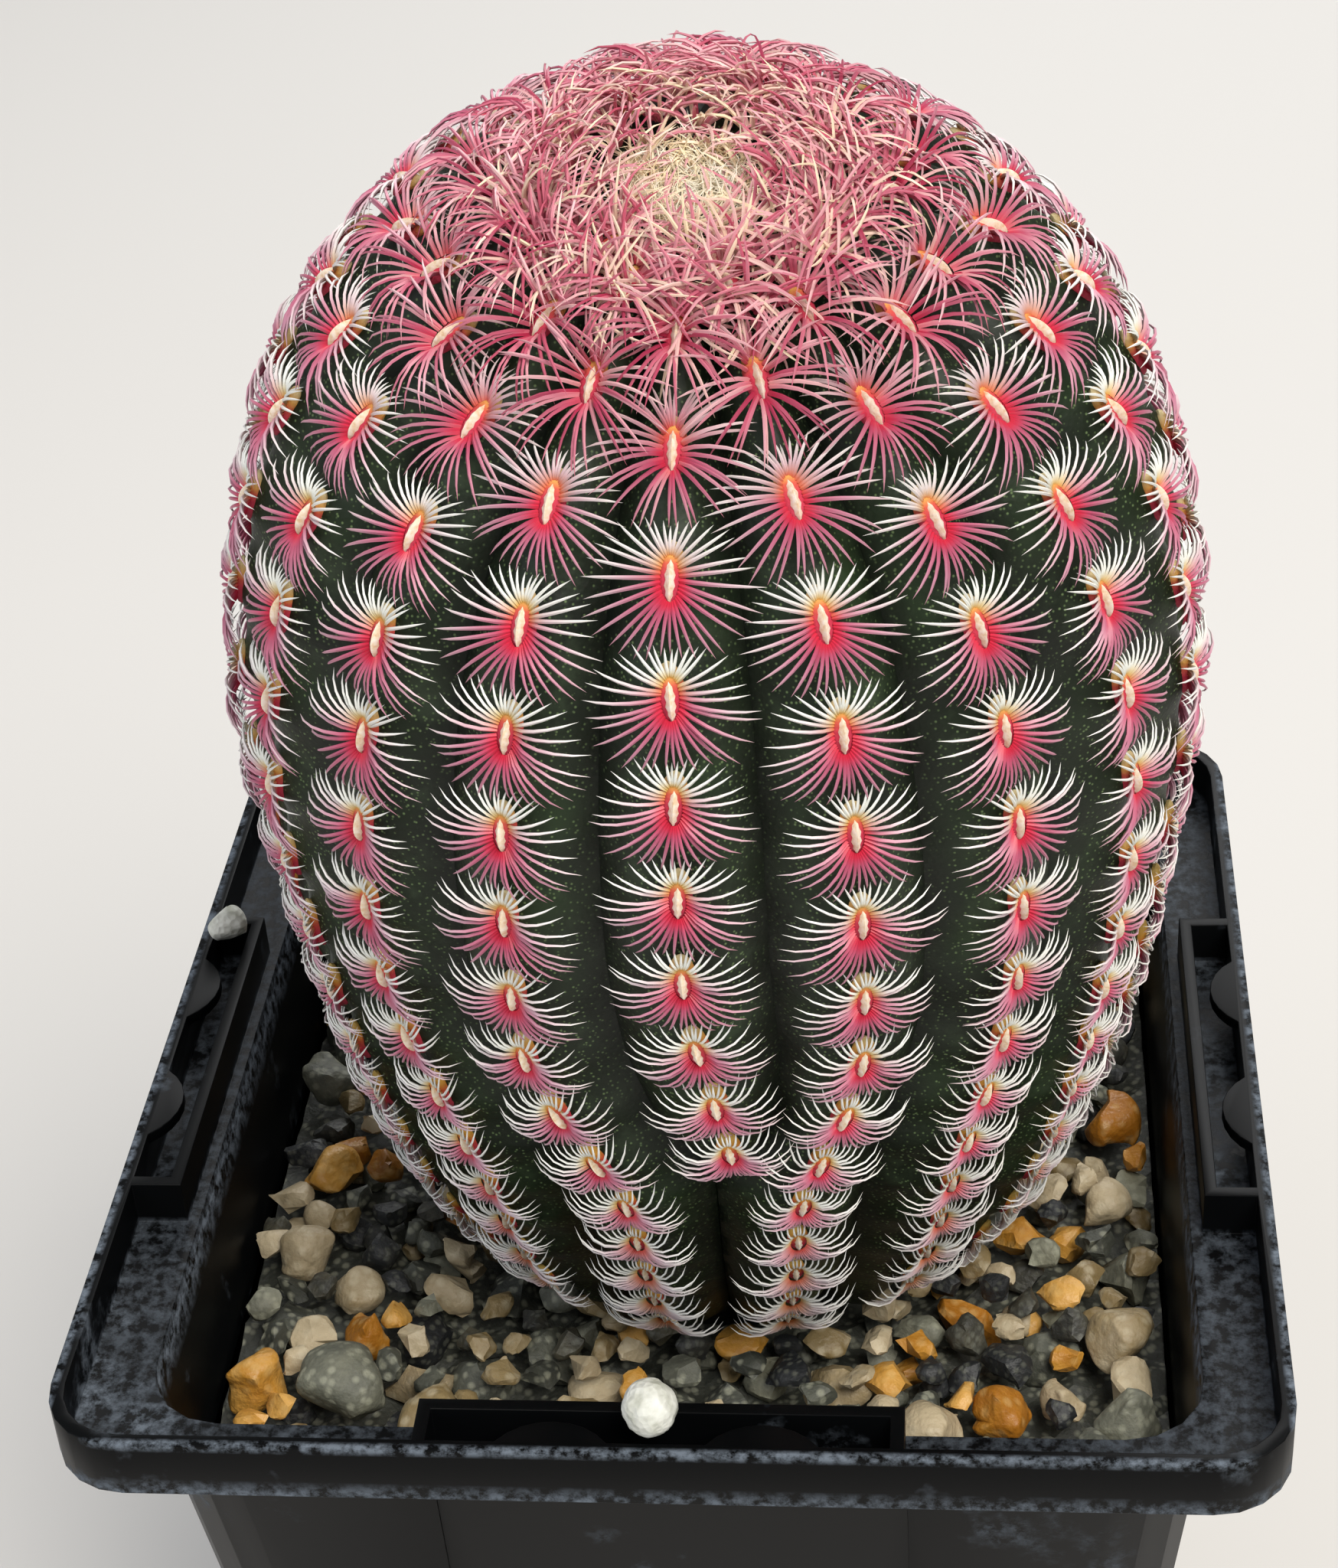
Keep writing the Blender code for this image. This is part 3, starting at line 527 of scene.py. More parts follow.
def placeLocal(areoles, owner, local):  # owner says which areole each copy sits on
    points = (areoles["place"][owner][:, None, :]
              + local[:, :, 0:1] * areoles["side"][owner][:, None, :]
              + local[:, :, 1:2] * areoles["up"][owner][:, None, :]
              + local[:, :, 2:3] * areoles["out"][owner][:, None, :])
    return toFrame(points)


# Spines

spine = {
    "segments": 5,
    "count": 35,              # on one areole
    "thickness": 0.27 * mm,   # across the base of a spine
    "wrapRadius": 36 * mm,    # the comb bends round the body like this
    "ring": (0.64 * mm, 1.48 * mm),                    # they leave an oval of these half widths
    "angles": (0, 20, 45, 70, 95, 125, 150, 180),      # degrees from straight up
    "middle": (1.9, 2.4, 3.5, 4.6, 5.4, 5.2, 4.2, 3.3),   # lengths at those angles, mm
    "low": (1.5, 2.1, 3.4, 4.7, 4.9, 3.8, 2.4, 1.7),
    "young": (4.4, 4.6, 5.2, 5.9, 6.3, 6.3, 6.0, 5.6),
}


def modelSpine():  # one straight needle, 1 long, whose tip is a point
    startPrimitive()
    bpy.ops.mesh.primitive_circle_add(vertices=4, radius=1, fill_type="NGON")
    bpy.ops.object.mode_set(mode="EDIT")
    bpy.ops.mesh.select_all(action="SELECT")
    for _ in range(spine["segments"]):
        bpy.ops.mesh.extrude_region_move(TRANSFORM_OT_translate={"value": (0, 0, 1 / spine["segments"])})
    bpy.ops.mesh.merge(type="CENTER")
    bpy.ops.mesh.select_all(action="SELECT")
    bpy.ops.mesh.normals_make_consistent(inside=False)
    bpy.ops.object.mode_set(mode="OBJECT")
    return takeTemplate(bpy.context.object)


def bendSpines(template, start, heading, headingEnd, lift, liftEnd, length, thickness):
    # runs each needle along an arc that leaves the areole, rises and comes back to the body
    fine = 4 * spine["segments"]
    t = numpy.linspace(0, 1, fine + 1)[None, :]
    middle = (t[:, 1:] + t[:, :-1]) / 2
    turn = mix(heading[:, None], headingEnd[:, None], middle)
    rise = mix(lift[:, None], liftEnd[:, None], middle)
    step = length[:, None] / fine
    moves = numpy.stack((numpy.sin(turn) * numpy.cos(rise) * step,
                         numpy.cos(turn) * numpy.cos(rise) * step, numpy.sin(rise) * step), axis=-1)
    line = numpy.concatenate((start[:, None, :], start[:, None, :] + numpy.cumsum(moves, axis=1)), axis=1)
    line[:, :, 2] -= (line[:, :, 0] ** 2 + line[:, :, 1] ** 2) / (2 * spine["wrapRadius"])
    tangent = numpy.gradient(line, axis=1)
    tangent /= numpy.linalg.norm(tangent, axis=2)[:, :, None]
    flat = numpy.cross(tangent, numpy.array((0, 0, 1.0)))
    flat /= numpy.maximum(numpy.linalg.norm(flat, axis=2), 1e-6)[:, :, None]
    over = numpy.cross(flat, tangent)
    share = template["points"][:, 2]
    station = numpy.rint(share * fine).astype(int)
    width = thickness[:, None] / 2 * (1.15 - 0.4 * share) * numpy.sqrt(numpy.maximum(1 - share ** 3, 0))
    return (line[:, station] + flat[:, station] * (width * template["points"][:, 0])[:, :, None]
            + over[:, station] * (width * template["points"][:, 1])[:, :, None])


def spineFinish():
    # Horny radial spines: crimson where they leave the wool, pink and then ivory to a sharp tip
    material, tree, shader = newMaterial("horny radial spine", 0.38, Specular_IOR_Level=0.45)
    fac = {name: addNode(tree, "ShaderNodeAttribute", attribute_name=name).outputs["Fac"]
           for name in ("along", "blush", "wine", "youth", "shade")}
    pale = addNode(tree, "ShaderNodeValToRGB", {"Fac": fac["along"]},
                   stops=((0.0, "#D6A64C"), (1.0, "#F1F2EE"), (0.10, "#DCC894"), (0.32, "#E6E7DF")))
    pink = addNode(tree, "ShaderNodeValToRGB", {"Fac": fac["along"]},
                   stops=((0.0, "#CE2A44"), (1.0, "#F4F0E8"), (0.05, "#CC3A54"), (0.14, "#BE6880"),
                          (0.36, "#CA98A8"), (0.58, "#DEC8CC"), (0.82, "#F0EAE6")))
    wine = addNode(tree, "ShaderNodeValToRGB", {"Fac": fac["along"]},
                   stops=((0.0, "#CE2A44"), (1.0, "#B79468"), (0.06, "#C8304C"), (0.18, "#B8506E"),
                          (0.50, "#C07C94"), (0.80, "#C28A96"), (0.94, "#A8604C")))
    young = addNode(tree, "ShaderNodeValToRGB", {"Fac": fac["shade"]},
                    stops=((0.0, "#9C1A40"), (1.0, "#F4E4C0"), (0.20, "#B43A58"), (0.42, "#D07386"),
                           (0.66, "#E6AFB4"), (0.84, "#F0D2BE")))
    tinted = addNode(tree, "ShaderNodeMix", {"Factor": fac["blush"], 6: pale.outputs["Color"],
                                             7: pink.outputs["Color"]}, data_type="RGBA")
    deeper = addNode(tree, "ShaderNodeMix", {"Factor": fac["wine"], 6: tinted.outputs[2],
                                             7: wine.outputs["Color"]}, data_type="RGBA")
    grown = addNode(tree, "ShaderNodeMix", {"Factor": fac["youth"], 6: deeper.outputs[2],
                                            7: young.outputs["Color"]}, data_type="RGBA")
    tree.links.new(grown.outputs[2], shader.inputs["Base Color"])
    return material


def growRow(template, areoles, material, name, replaced, rng):
    count = spine["count"]
    total = len(areoles["distance"])
    owner = numpy.repeat(numpy.arange(total), count)
    level = areoles["level"][owner]
    distance = areoles["distance"][owner]
    young = smoothStep(distance, 28 * mm, 14 * mm)
    low = smoothStep(level, 0.68, 0.24)
    angle = numpy.tile((numpy.arange(count) - (count - 1) / 2) / count * 360, total)
    angle = angle + rng.uniform(-2.5, 2.5, len(angle)) + numpy.repeat(rng.uniform(-4, 4, total), count)
    angle = angle + young * rng.uniform(-9, 9, len(angle))
    bare = numpy.abs((angle + 180) % 360 - 180)
    lengths = [numpy.interp(bare, spine["angles"], spine[age]) for age in ("middle", "low", "young")]
    length = mix(mix(lengths[0], lengths[1], low), lengths[2], young) * mm
    length = length * rng.uniform(0.92, 1.06, len(length)) * numpy.repeat(rng.uniform(0.95, 1.05, total), count)
    length = length * mix(1.0, 0.82, smoothStep(distance, 16 * mm, 8 * mm))
    heading = numpy.radians(angle)
    upward = mix(mix(-2.0, 74.0, low), -14.0, young)
    heading = heading + numpy.radians(16.0 * low) * numpy.sin(heading)
    headingEnd = heading - numpy.radians(upward + rng.uniform(-6, 6, len(angle))) * numpy.sin(heading)
    lift = numpy.radians(mix(mix(42.0, 44.0, low), 62.0, young) + rng.uniform(-5, 5, len(angle)))
    liftEnd = numpy.radians(mix(mix(-34.0, -44.0, low), -30.0, young)
                            + rng.uniform(-6, 6, len(angle)) * (1 + 2 * young))
    start = numpy.stack((spine["ring"][0] * numpy.sin(heading),
                         spine["ring"][1] * mix(1.0, 0.78, low) * numpy.cos(heading) + 0.1 * mm,
                         numpy.full(len(angle), 0.46 * mm)), axis=-1)
    thickness = spine["thickness"] * mix(1.0, 0.74, low) * numpy.interp(bare, (0, 45, 80, 130, 180), (0.8, 0.9, 1.0, 1.0, 0.8))
    local = bendSpines(template, start, heading, headingEnd, lift, liftEnd, length, thickness)
    piece = copyTemplate(name, template, placeLocal(areoles, owner, local), 60)
    share = numpy.tile(template["points"][:, 2], (len(angle), 1))
    points = len(template["points"])
    whiten = mix(1.0, 1.55, low * smoothStep(bare, 150, 100)) * mix(0.72, 1.0, smoothStep(bare, 125, 60))
    blush = smoothStep(bare, mix(34, 50, low), 100) * mix(0.35, 1.0, smoothStep(level, 0.04, 0.34))
    blush = numpy.maximum(blush, 0.75 * smoothStep(level, 0.86, 0.97))
    wine = smoothStep(bare, 85, 135) * mix(0.9, 0.15, low)
    paintPoints(piece, "along", numpy.clip(share * whiten[:, None], 0, 1))
    for label, value in (("blush", blush), ("wine", wine), ("youth", young * 0.85),
                         ("shade", rng.uniform(0, 1, len(angle)) * mix(0.72, 1.0, smoothStep(
                             distance, 16 * mm, 8 * mm)))):
        paintPoints(piece, label, numpy.repeat(value, points))
    return finishPiece(piece, name, material, replaced)


needle = modelSpine()
spineMaterial = spineFinish()
seeds = numpy.random.default_rng(19)
rows = {}
for number, rib in enumerate(allRibs, start=1):
    rows[rib] = findAreoles(rib)
    growRow(needle, rows[rib], spineMaterial, f"spines_{number:02d}", (f"spine_row_{number:02d}",), seeds)
print("the rows of spines are combed out")


# Cushions and wool of the areoles

areole = {
    "halfWide": 0.95 * mm,
    "halfTall": 2.15 * mm,
    "thick": 0.62 * mm,
    "woolHalfWide": 0.35 * mm,
    "woolHalfTall": 1.50 * mm,
    "woolThick": 0.80 * mm,
    "woolTeeth": 14,
}


def modelCushion():
    startPrimitive()
    bpy.ops.mesh.primitive_uv_sphere_add(segments=14, ring_count=8, radius=1)
    return takeTemplate(bpy.context.object)


def modelWool():  # a pointed lens whose sides are combed into small teeth
    startPrimitive()
    bpy.ops.mesh.primitive_uv_sphere_add(segments=6, ring_count=areole["woolTeeth"], radius=1,
                                         rotation=(math.pi / 2, 0, 0))
    bpy.ops.object.transform_apply(location=False, rotation=True, scale=False)
    template = takeTemplate(bpy.context.object)
    points = template["points"]
    tall = points[:, 1]
    teeth = 1 + 0.16 * numpy.cos(math.pi * areole["woolTeeth"] * numpy.arccos(numpy.clip(tall, -1, 1)) / math.pi)
    narrow = numpy.clip(1 - numpy.abs(tall) ** 3 * 0.5, 0, 1)
    points[:, 0] *= teeth * narrow
    points[:, 2] *= narrow
    return template


def cushionFinish():
    # Felted bases of the spines: crimson round the wool, ochre to pale yellow above it
    material, tree, shader = newMaterial("felted areole base", 0.75)
    height = addNode(tree, "ShaderNodeAttribute", attribute_name="height").outputs["Fac"]
    age = addNode(tree, "ShaderNodeAttribute", attribute_name="age").outputs["Fac"]
    tones = addNode(tree, "ShaderNodeValToRGB", {"Fac": height},
                    stops=((0.0, "#B83450"), (1.0, "#DCCFA0"), (0.50, "#C22E46"), (0.66, "#CC5440"),
                           (0.78, "#DCA04E")))
    rusty = addNode(tree, "ShaderNodeValToRGB", {"Fac": height},
                    stops=((0.0, "#B43C54"), (1.0, "#D2B25C"), (0.40, "#C03042"), (0.58, "#CA562C"),
                           (0.70, "#DA9A38")))
    aged = addNode(tree, "ShaderNodeMix", {"Factor": age, 6: tones.outputs["Color"],
                                           7: rusty.outputs["Color"]}, data_type="RGBA")
    place = addNode(tree, "ShaderNodeTexCoord").outputs["Object"]
    felt = addNode(tree, "ShaderNodeTexNoise", {"Vector": place, "Scale": 1 / (0.3 * mm), "Detail": 3.0})
    bump = addNode(tree, "ShaderNodeBump", {"Height": felt.outputs["Fac"], "Strength": 0.6,
                                            "Distance": 0.15 * mm})
    tree.links.new(aged.outputs[2], shader.inputs["Base Color"])
    tree.links.new(bump.outputs["Normal"], shader.inputs["Normal"])
    return material


def woolFinish():
    # Tight cream wool: matt, warm, paler along its ridge
    material, tree, shader = newMaterial("areole wool", 0.95, Sheen_Weight=0.3)
    place = addNode(tree, "ShaderNodeTexCoord").outputs["Object"]
    fibre = addNode(tree, "ShaderNodeTexNoise", {"Vector": place, "Scale": 1 / (0.35 * mm), "Detail": 4.0})
    tones = addNode(tree, "ShaderNodeValToRGB", {"Fac": fibre.outputs["Fac"]},
                    stops=((0.30, "#E2C49A"), (0.65, "#F9F1E0"), (0.48, "#F2E3C6")))
    bump = addNode(tree, "ShaderNodeBump", {"Height": fibre.outputs["Fac"], "Strength": 0.5,
                                            "Distance": 0.1 * mm})
    tree.links.new(tones.outputs["Color"], shader.inputs["Base Color"])
    tree.links.new(bump.outputs["Normal"], shader.inputs["Normal"])
    return material


def setAreoles():
    merged = {key: numpy.concatenate([rows[rib][key] for rib in allRibs]) for key in rows[0]}
    total = len(merged["level"])
    owner = numpy.arange(total)
    spin = seeds.uniform(-0.08, 0.08, total)
    low = smoothStep(merged["level"], 0.50, 0.06)
    size = mix(1.0, 0.72, low) * mix(0.8, 1.0, smoothStep(merged["distance"], 10 * mm, 26 * mm))
    cushion = modelCushion()
    local = cushion["points"] * (areole["halfWide"], areole["halfTall"], areole["thick"])
    local[:, 1] += 0.30 * mm
    placed = orient(local, spin) * size[:, None, None]
    piece = copyTemplate("areole_cushions", cushion, placeLocal(merged, owner, placed), 60)
    points = len(cushion["points"])
    paintPoints(piece, "height", numpy.tile(cushion["points"][:, 1] * 0.5 + 0.5, total))
    paintPoints(piece, "age", numpy.repeat(smoothStep(merged["level"], 0.62, 0.30), points))
    finishPiece(piece, "areole_cushions", cushionFinish())
    wool = modelWool()
    local = wool["points"] * (areole["woolHalfWide"], areole["woolHalfTall"], areole["woolThick"])
    local[:, 2] += 0.25 * mm
    placed = orient(local, spin) * size[:, None, None]
    piece = copyTemplate("areole_wool", wool, placeLocal(merged, owner, placed), 40)
    finishPiece(piece, "areole_wool", woolFinish())


setAreoles()
print("the areoles have their cushions and wool")


# Crown: young spines and wool over the growing point

crown = {
    "tufts": 64,
    "tuftSpines": 18,
    "spread": 1.60 * mm,      # spacing of the spiral of tufts
    "hairs": 800,
    "hairRadius": 4.4 * mm,
    "hairLength": 3.0 * mm,
    "hairThickness": 0.11 * mm,
}


def crownTufts(count, spread):
    index = numpy.arange(1, count + 1)
    turn = index * math.radians(137.5)
    distances = spread * numpy.sqrt(index)
    places = surfacePoint(distances, turn, skinLift(1, distances, 0.0))
    outward = surfacePoint(distances + 0.5 * mm, turn, 0.0) - surfacePoint(distances, turn, 0.0)
    outward /= numpy.linalg.norm(outward, axis=1)[:, None]
    out = surfacePoint(distances, turn, 0.5 * mm) - surfacePoint(distances, turn, 0.0)
    out = outward * 0.25 + out / numpy.linalg.norm(out, axis=1)[:, None]
    out /= numpy.linalg.norm(out, axis=1)[:, None]
    up = -outward
    up = up - out * (out * up).sum(axis=1)[:, None]
    up /= numpy.linalg.norm(up, axis=1)[:, None]
    return {"place": places, "up": up, "out": out, "side": numpy.cross(up, out), "distance": distances}


def growCrown():
    tufts = crownTufts(crown["tufts"], crown["spread"])
    owner = numpy.repeat(numpy.arange(crown["tufts"]), crown["tuftSpines"])
    many = len(owner)
    distance = tufts["distance"][owner]
    heading = seeds.uniform(0, math.tau, many)
    length = mix(3.0, 5.8, smoothStep(distance, 2 * mm, 9 * mm)) * seeds.uniform(0.75, 1.1, many) * mm
    start = numpy.stack((0.5 * mm * numpy.sin(heading), 0.5 * mm * numpy.cos(heading),
                         numpy.zeros(many)), axis=-1)
    local = bendSpines(needle, start, heading, heading + seeds.uniform(-0.9, 0.9, many),
                       numpy.radians(seeds.uniform(38, 72, many)), numpy.radians(seeds.uniform(-45, 20, many)),
                       length, numpy.full(many, 0.26 * mm))
    piece = copyTemplate("crown_young_spines", needle, placeLocal(tufts, owner, local), 60)
    points = len(needle["points"])
    shade = numpy.clip(seeds.uniform(0.25, 1.0, many) + 0.25 * smoothStep(distance, 7 * mm, 2 * mm), 0, 1)
    paintPoints(piece, "along", numpy.tile(needle["points"][:, 2], many))
    for label, value in (("blush", numpy.ones(many)), ("wine", numpy.zeros(many)),
                         ("youth", numpy.ones(many)), ("shade", shade)):
        paintPoints(piece, label, numpy.repeat(value, points))
    finishPiece(piece, "crown_young_spines", spineMaterial, ("crown_spines",))


def woolHairs():
    # Loose silky wool of the growing point: pale straw, almost white where it is thickest
    many = crown["hairs"]
    seat = crownTufts(many, crown["hairRadius"] / math.sqrt(many))
    owner = numpy.arange(many)
    heading = seeds.uniform(0, math.tau, many)
    length = crown["hairLength"] * seeds.uniform(0.6, 1.15, many)
    local = bendSpines(needle, numpy.zeros((many, 3)), heading, heading + seeds.uniform(-3.0, 3.0, many),
                       numpy.radians(seeds.uniform(35, 85, many)), numpy.radians(seeds.uniform(-60, 40, many)),
                       length, numpy.full(many, crown["hairThickness"]))
    piece = copyTemplate("crown_wool", needle, placeLocal(seat, owner, local), 60)
    material, tree, shader = newMaterial("silky crown wool", 0.6, Sheen_Weight=0.4)
    place = addNode(tree, "ShaderNodeTexCoord").outputs["Object"]
    drift = addNode(tree, "ShaderNodeTexNoise", {"Vector": place, "Scale": 1 / (2.0 * mm)})
    tones = addNode(tree, "ShaderNodeValToRGB", {"Fac": drift.outputs["Fac"]},
                    stops=((0.35, "#EBD8AE"), (0.62, "#FBF8E8")))
    tree.links.new(tones.outputs["Color"], shader.inputs["Base Color"])
    finishPiece(piece, "crown_wool", material)


growCrown()
woolHairs()
print("the crown is covered")


# Stones

stones = {
    "cuts": 9,
    "shapes": 8,
    "grains": 640,
    "smallest": 3.0 * mm,
    "largest": 7.0 * mm,
    "lowest": 1.2 * mm,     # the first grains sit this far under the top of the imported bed
    "highest": 4.6 * mm,    # none rests higher than this over it
    "underPlant": 17 * mm,  # grains lie in to this radius round the plant
}


def modelStone(rng, subdivisions):  # a ball cut by random planes into a chip, with worn corners
    startPrimitive()
    bpy.ops.mesh.primitive_ico_sphere_add(subdivisions=subdivisions, radius=1)
    bpy.ops.object.mode_set(mode="EDIT")
    for _ in range(stones["cuts"]):
        normal = Vector([rng.gauss(0, 1) for _ in range(3)]).normalized()
        bpy.ops.mesh.select_all(action="SELECT")
        bpy.ops.mesh.bisect(plane_co=normal * rng.uniform(0.60, 0.84), plane_no=normal,
                            use_fill=True, clear_outer=True)
    bpy.ops.mesh.select_all(action="SELECT")
    bpy.ops.mesh.quads_convert_to_tris()
    bpy.ops.mesh.remove_doubles(threshold=0.10)
    bpy.ops.mesh.vertices_smooth(factor=0.5, repeat=1)
    bpy.ops.mesh.normals_make_consistent(inside=False)
    bpy.ops.object.mode_set(mode="OBJECT")
    return bpy.context.object


def stoneFinish(name, roughness, tones, spots, spotColour, spotShare):
    # Crushed and tumbled mineral: blotches about 2.5 mm across and crystals of 0.7 mm, slightly damp
    material, tree, shader = newMaterial(name, roughness)
    place = addNode(tree, "ShaderNodeTexCoord").outputs["Object"]
    shade = addNode(tree, "ShaderNodeAttribute", attribute_name="shade").outputs["Fac"]
    blotch = addNode(tree, "ShaderNodeTexNoise", {"Vector": place, "Scale": 1 / (2.5 * mm), "Detail": 6.0,
                                                  "Roughness": 0.62})
    both = addNode(tree, "ShaderNodeMath", {0: blotch.outputs["Fac"], 1: shade}, operation="ADD")
    spread = addNode(tree, "ShaderNodeMapRange", {"Value": both.outputs[0], "From Min": 0.35,
                                                  "From Max": 1.55})
    base = addNode(tree, "ShaderNodeValToRGB", {"Fac": spread.outputs["Result"]}, stops=tones)
    crystals = addNode(tree, "ShaderNodeTexVoronoi", {"Vector": place, "Scale": 1 / (spots * mm)})
    grain = addNode(tree, "ShaderNodeMapRange", {"Value": crystals.outputs["Distance"],
                                                 "From Min": 0.46, "From Max": 0.22, "To Max": spotShare})
    speckled = addNode(tree, "ShaderNodeMix", {"Factor": grain.outputs["Result"],
                                               6: base.outputs["Color"], 7: spotColour}, data_type="RGBA")
    tree.links.new(speckled.outputs[2], shader.inputs["Base Color"])
    rough = addNode(tree, "ShaderNodeTexNoise", {"Vector": place, "Scale": 1 / (0.6 * mm), "Detail": 4.0})
    bump = addNode(tree, "ShaderNodeBump", {"Height": rough.outputs["Fac"], "Strength": 0.7,
                                            "Distance": 0.25 * mm})
    tree.links.new(bump.outputs["Normal"], shader.inputs["Normal"])
    return material


stoneFinishes = {
    "grey_granite": stoneFinish(
        "grey granite chip", 0.6, ((0.0, "#2B2D28"), (1.0, "#8B8B78"), (0.45, "#494B42"), (0.7, "#66675A")),
        0.9, "#A7A894", 0.5),
    "cream_quartz": stoneFinish(
        "cream quartz pebble", 0.5, ((0.0, "#6E5C38"), (1.0, "#C4B494"), (0.4, "#8F7C56"), (0.7, "#A8987A")),
        1.2, "#CFC4A8", 0.35),
    "orange_quartz": stoneFinish(
        "orange quartz pebble", 0.45, ((0.0, "#7A4A14"), (1.0, "#D9A85A"), (0.4, "#A56A1C"), (0.7, "#C08A36")),
        1.2, "#DDBB7C", 0.3),
    "dark_stone": stoneFinish(
        "dark basalt chip", 0.55, ((0.0, "#15171A"), (1.0, "#54503F"), (0.5, "#27292A"), (0.75, "#3C3B33")),
        0.7, "#74766A", 0.35),
}


def stoneMatrix(rng):
    turn = Euler((rng.uniform(-0.5, 0.5), rng.uniform(-0.5, 0.5), rng.uniform(0, math.tau))).to_matrix()
    scale = Matrix.Diagonal((rng.uniform(1.0, 1.25), rng.uniform(0.85, 1.0), rng.uniform(0.62, 0.85)))
    spin = Euler([rng.uniform(0, math.tau) for _ in range(3)]).to_matrix()
    return numpy.array(turn @ scale @ spin)


def setPebbles(rng):  # the larger stones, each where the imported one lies
    for node in sorted(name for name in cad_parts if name.startswith("pebble_")):
        low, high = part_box(node)
        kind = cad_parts[node].data.materials[0].name.split(".")[0].replace(" ", "_")
        model = modelStone(rng, 3)
        applyModifier(model, "SUBSURF", levels=1, render_levels=1)
        points = numpy.empty(len(model.data.vertices) * 3)
        model.data.vertices.foreach_get("co", points)
        points = points.reshape(-1, 3) @ numpy.array(Euler([rng.uniform(0, math.tau) for _ in range(3)]).to_matrix())
        span = points.max(axis=0) - points.min(axis=0)
        middle = (points.max(axis=0) + points.min(axis=0)) / 2
        points = (points - middle) / span * numpy.array(high - low) * (1.02, 1.02, 1.0) + numpy.array((low + high) / 2)
        model.data.vertices.foreach_set("co", points.ravel())
        makeActive(model)
        bpy.ops.object.shade_smooth_by_angle(angle=math.radians(38))
        paintPoints(model, "shade", numpy.full(len(points), rng.uniform(0.2, 0.9)))
        finishPiece(model, node.replace("pebble", "stone"), stoneFinishes[kind], (node,))


def restGrains(rng):  # drops grains one by one, each coming to rest on those it meets
    low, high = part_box("gravel_bed")
    half = (high.x - low.x) / 2
    floor = bedTop - stones["lowest"]
    lying = []
    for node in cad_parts:
        if node.startswith("pebble_"):
            corner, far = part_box(node)
            lying.append(((corner + far) / 2, (far.x - corner.x) / 2, True))
    grains = []
    tries = 0
    while len(grains) < stones["grains"] and tries < 14000:
        tries += 1
        radius = mix(stones["smallest"], stones["largest"], rng.random() ** 1.5) / 2
        x, y = (rng.uniform(-1, 1) * (half - radius * 0.9) for _ in range(2))
        if math.hypot(x - plant["offset"][0], y - plant["offset"][1]) < stones["underPlant"] + radius:
            continue
        if math.hypot(max(abs(x) - half + 6 * mm, 0), max(abs(y) - half + 6 * mm, 0)) > 6 * mm - radius * 0.7:
            continue
        z = floor + radius * 0.4
        blocked = False
        for place, other, fixed in lying:
            apart = math.hypot(place.x - x, place.y - y)
            reach = (radius + other) * 0.84
            if apart < reach:
                if fixed and apart < reach * 0.8:
                    blocked = True
                    break
                z = max(z, place.z + math.sqrt(reach ** 2 - apart ** 2) * 0.8)
        if blocked or z > bedTop + stones["highest"] - radius:
            continue
        grains.append((Vector((x, y, z)), radius))
        lying.append((Vector((x, y, z)), radius, False))
    return grains


def setGravel(rng):
    shapes = [takeTemplate(modelStone(rng, 2)) for _ in range(stones["shapes"])]
    kinds = ["grey_granite"] * 4 + ["cream_quartz"] * 4 + ["dark_stone"] * 2 + ["orange_quartz"]
    heaps = {kind: {"points": [], "faces": [], "shade": [], "count": 0} for kind in stoneFinishes}
    for place, radius in restGrains(rng):
        heap = heaps[rng.choice(kinds)]
        shape = rng.choice(shapes)
        points = shape["points"] @ stoneMatrix(rng).T * radius + numpy.array(place)
        heap["points"].append(points)
        heap["faces"] += [tuple(corner + heap["count"] for corner in face) for face in shape["faces"]]
        heap["shade"] += [rng.uniform(0.0, 1.0)] * len(points)
        heap["count"] += len(points)
    for kind, heap in heaps.items():
        piece = meshPiece(f"gravel_{kind}", numpy.concatenate(heap["points"]), heap["faces"], 38)
        paintPoints(piece, "shade", heap["shade"])
        finishPiece(piece, f"gravel_{kind}", stoneFinishes[kind])


def modelBed():  # fines between the grains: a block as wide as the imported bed, with an uneven top
    low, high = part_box("gravel_bed")
    startPrimitive()
    bpy.ops.mesh.primitive_cube_add(size=1, location=(low + high) / 2)
    bed = bpy.context.object
    bed.scale = high - low
    bpy.ops.object.transform_apply(location=True, rotation=False, scale=True)
    bpy.ops.object.mode_set(mode="EDIT")
    bpy.ops.mesh.select_all(action="SELECT")
    bpy.ops.mesh.subdivide(number_cuts=40)
    bpy.ops.object.mode_set(mode="OBJECT")
    rng = random.Random(11)
    corner = 5.5 * mm
    for vert in bed.data.vertices:
        point = vert.co
        for axis in (0, 1):
            other = 1 - axis
            half = (high[axis] - low[axis]) / 2
            over = abs(point[other]) - (high[other] - low[other]) / 2 + corner
            if over > 0:
                limit = half - corner + math.sqrt(max(corner ** 2 - over ** 2, 0))
                point[axis] = max(-limit, min(limit, point[axis]))
        if point.z > high.z - 0.01 * mm:
            point.z -= rng.uniform(0.9, 1.9) * mm
    makeActive(bed)
    bpy.ops.object.mode_set(mode="EDIT")
    bpy.ops.mesh.select_all(action="SELECT")
    bpy.ops.mesh.remove_doubles(threshold=0.01 * mm)
    bpy.ops.mesh.normals_make_consistent(inside=False)
    bpy.ops.object.mode_set(mode="OBJECT")
    paintPoints(bed, "shade", numpy.full(len(bed.data.vertices), 0.1))
    finishPiece(bed, "gravel_fines", stoneFinishes["grey_granite"], ("gravel_bed",))


stoneRng = random.Random(28)
modelBed()
setPebbles(stoneRng)
setGravel(stoneRng)
print("the gravel is laid")


# Perlite bead and white chip in the label slots

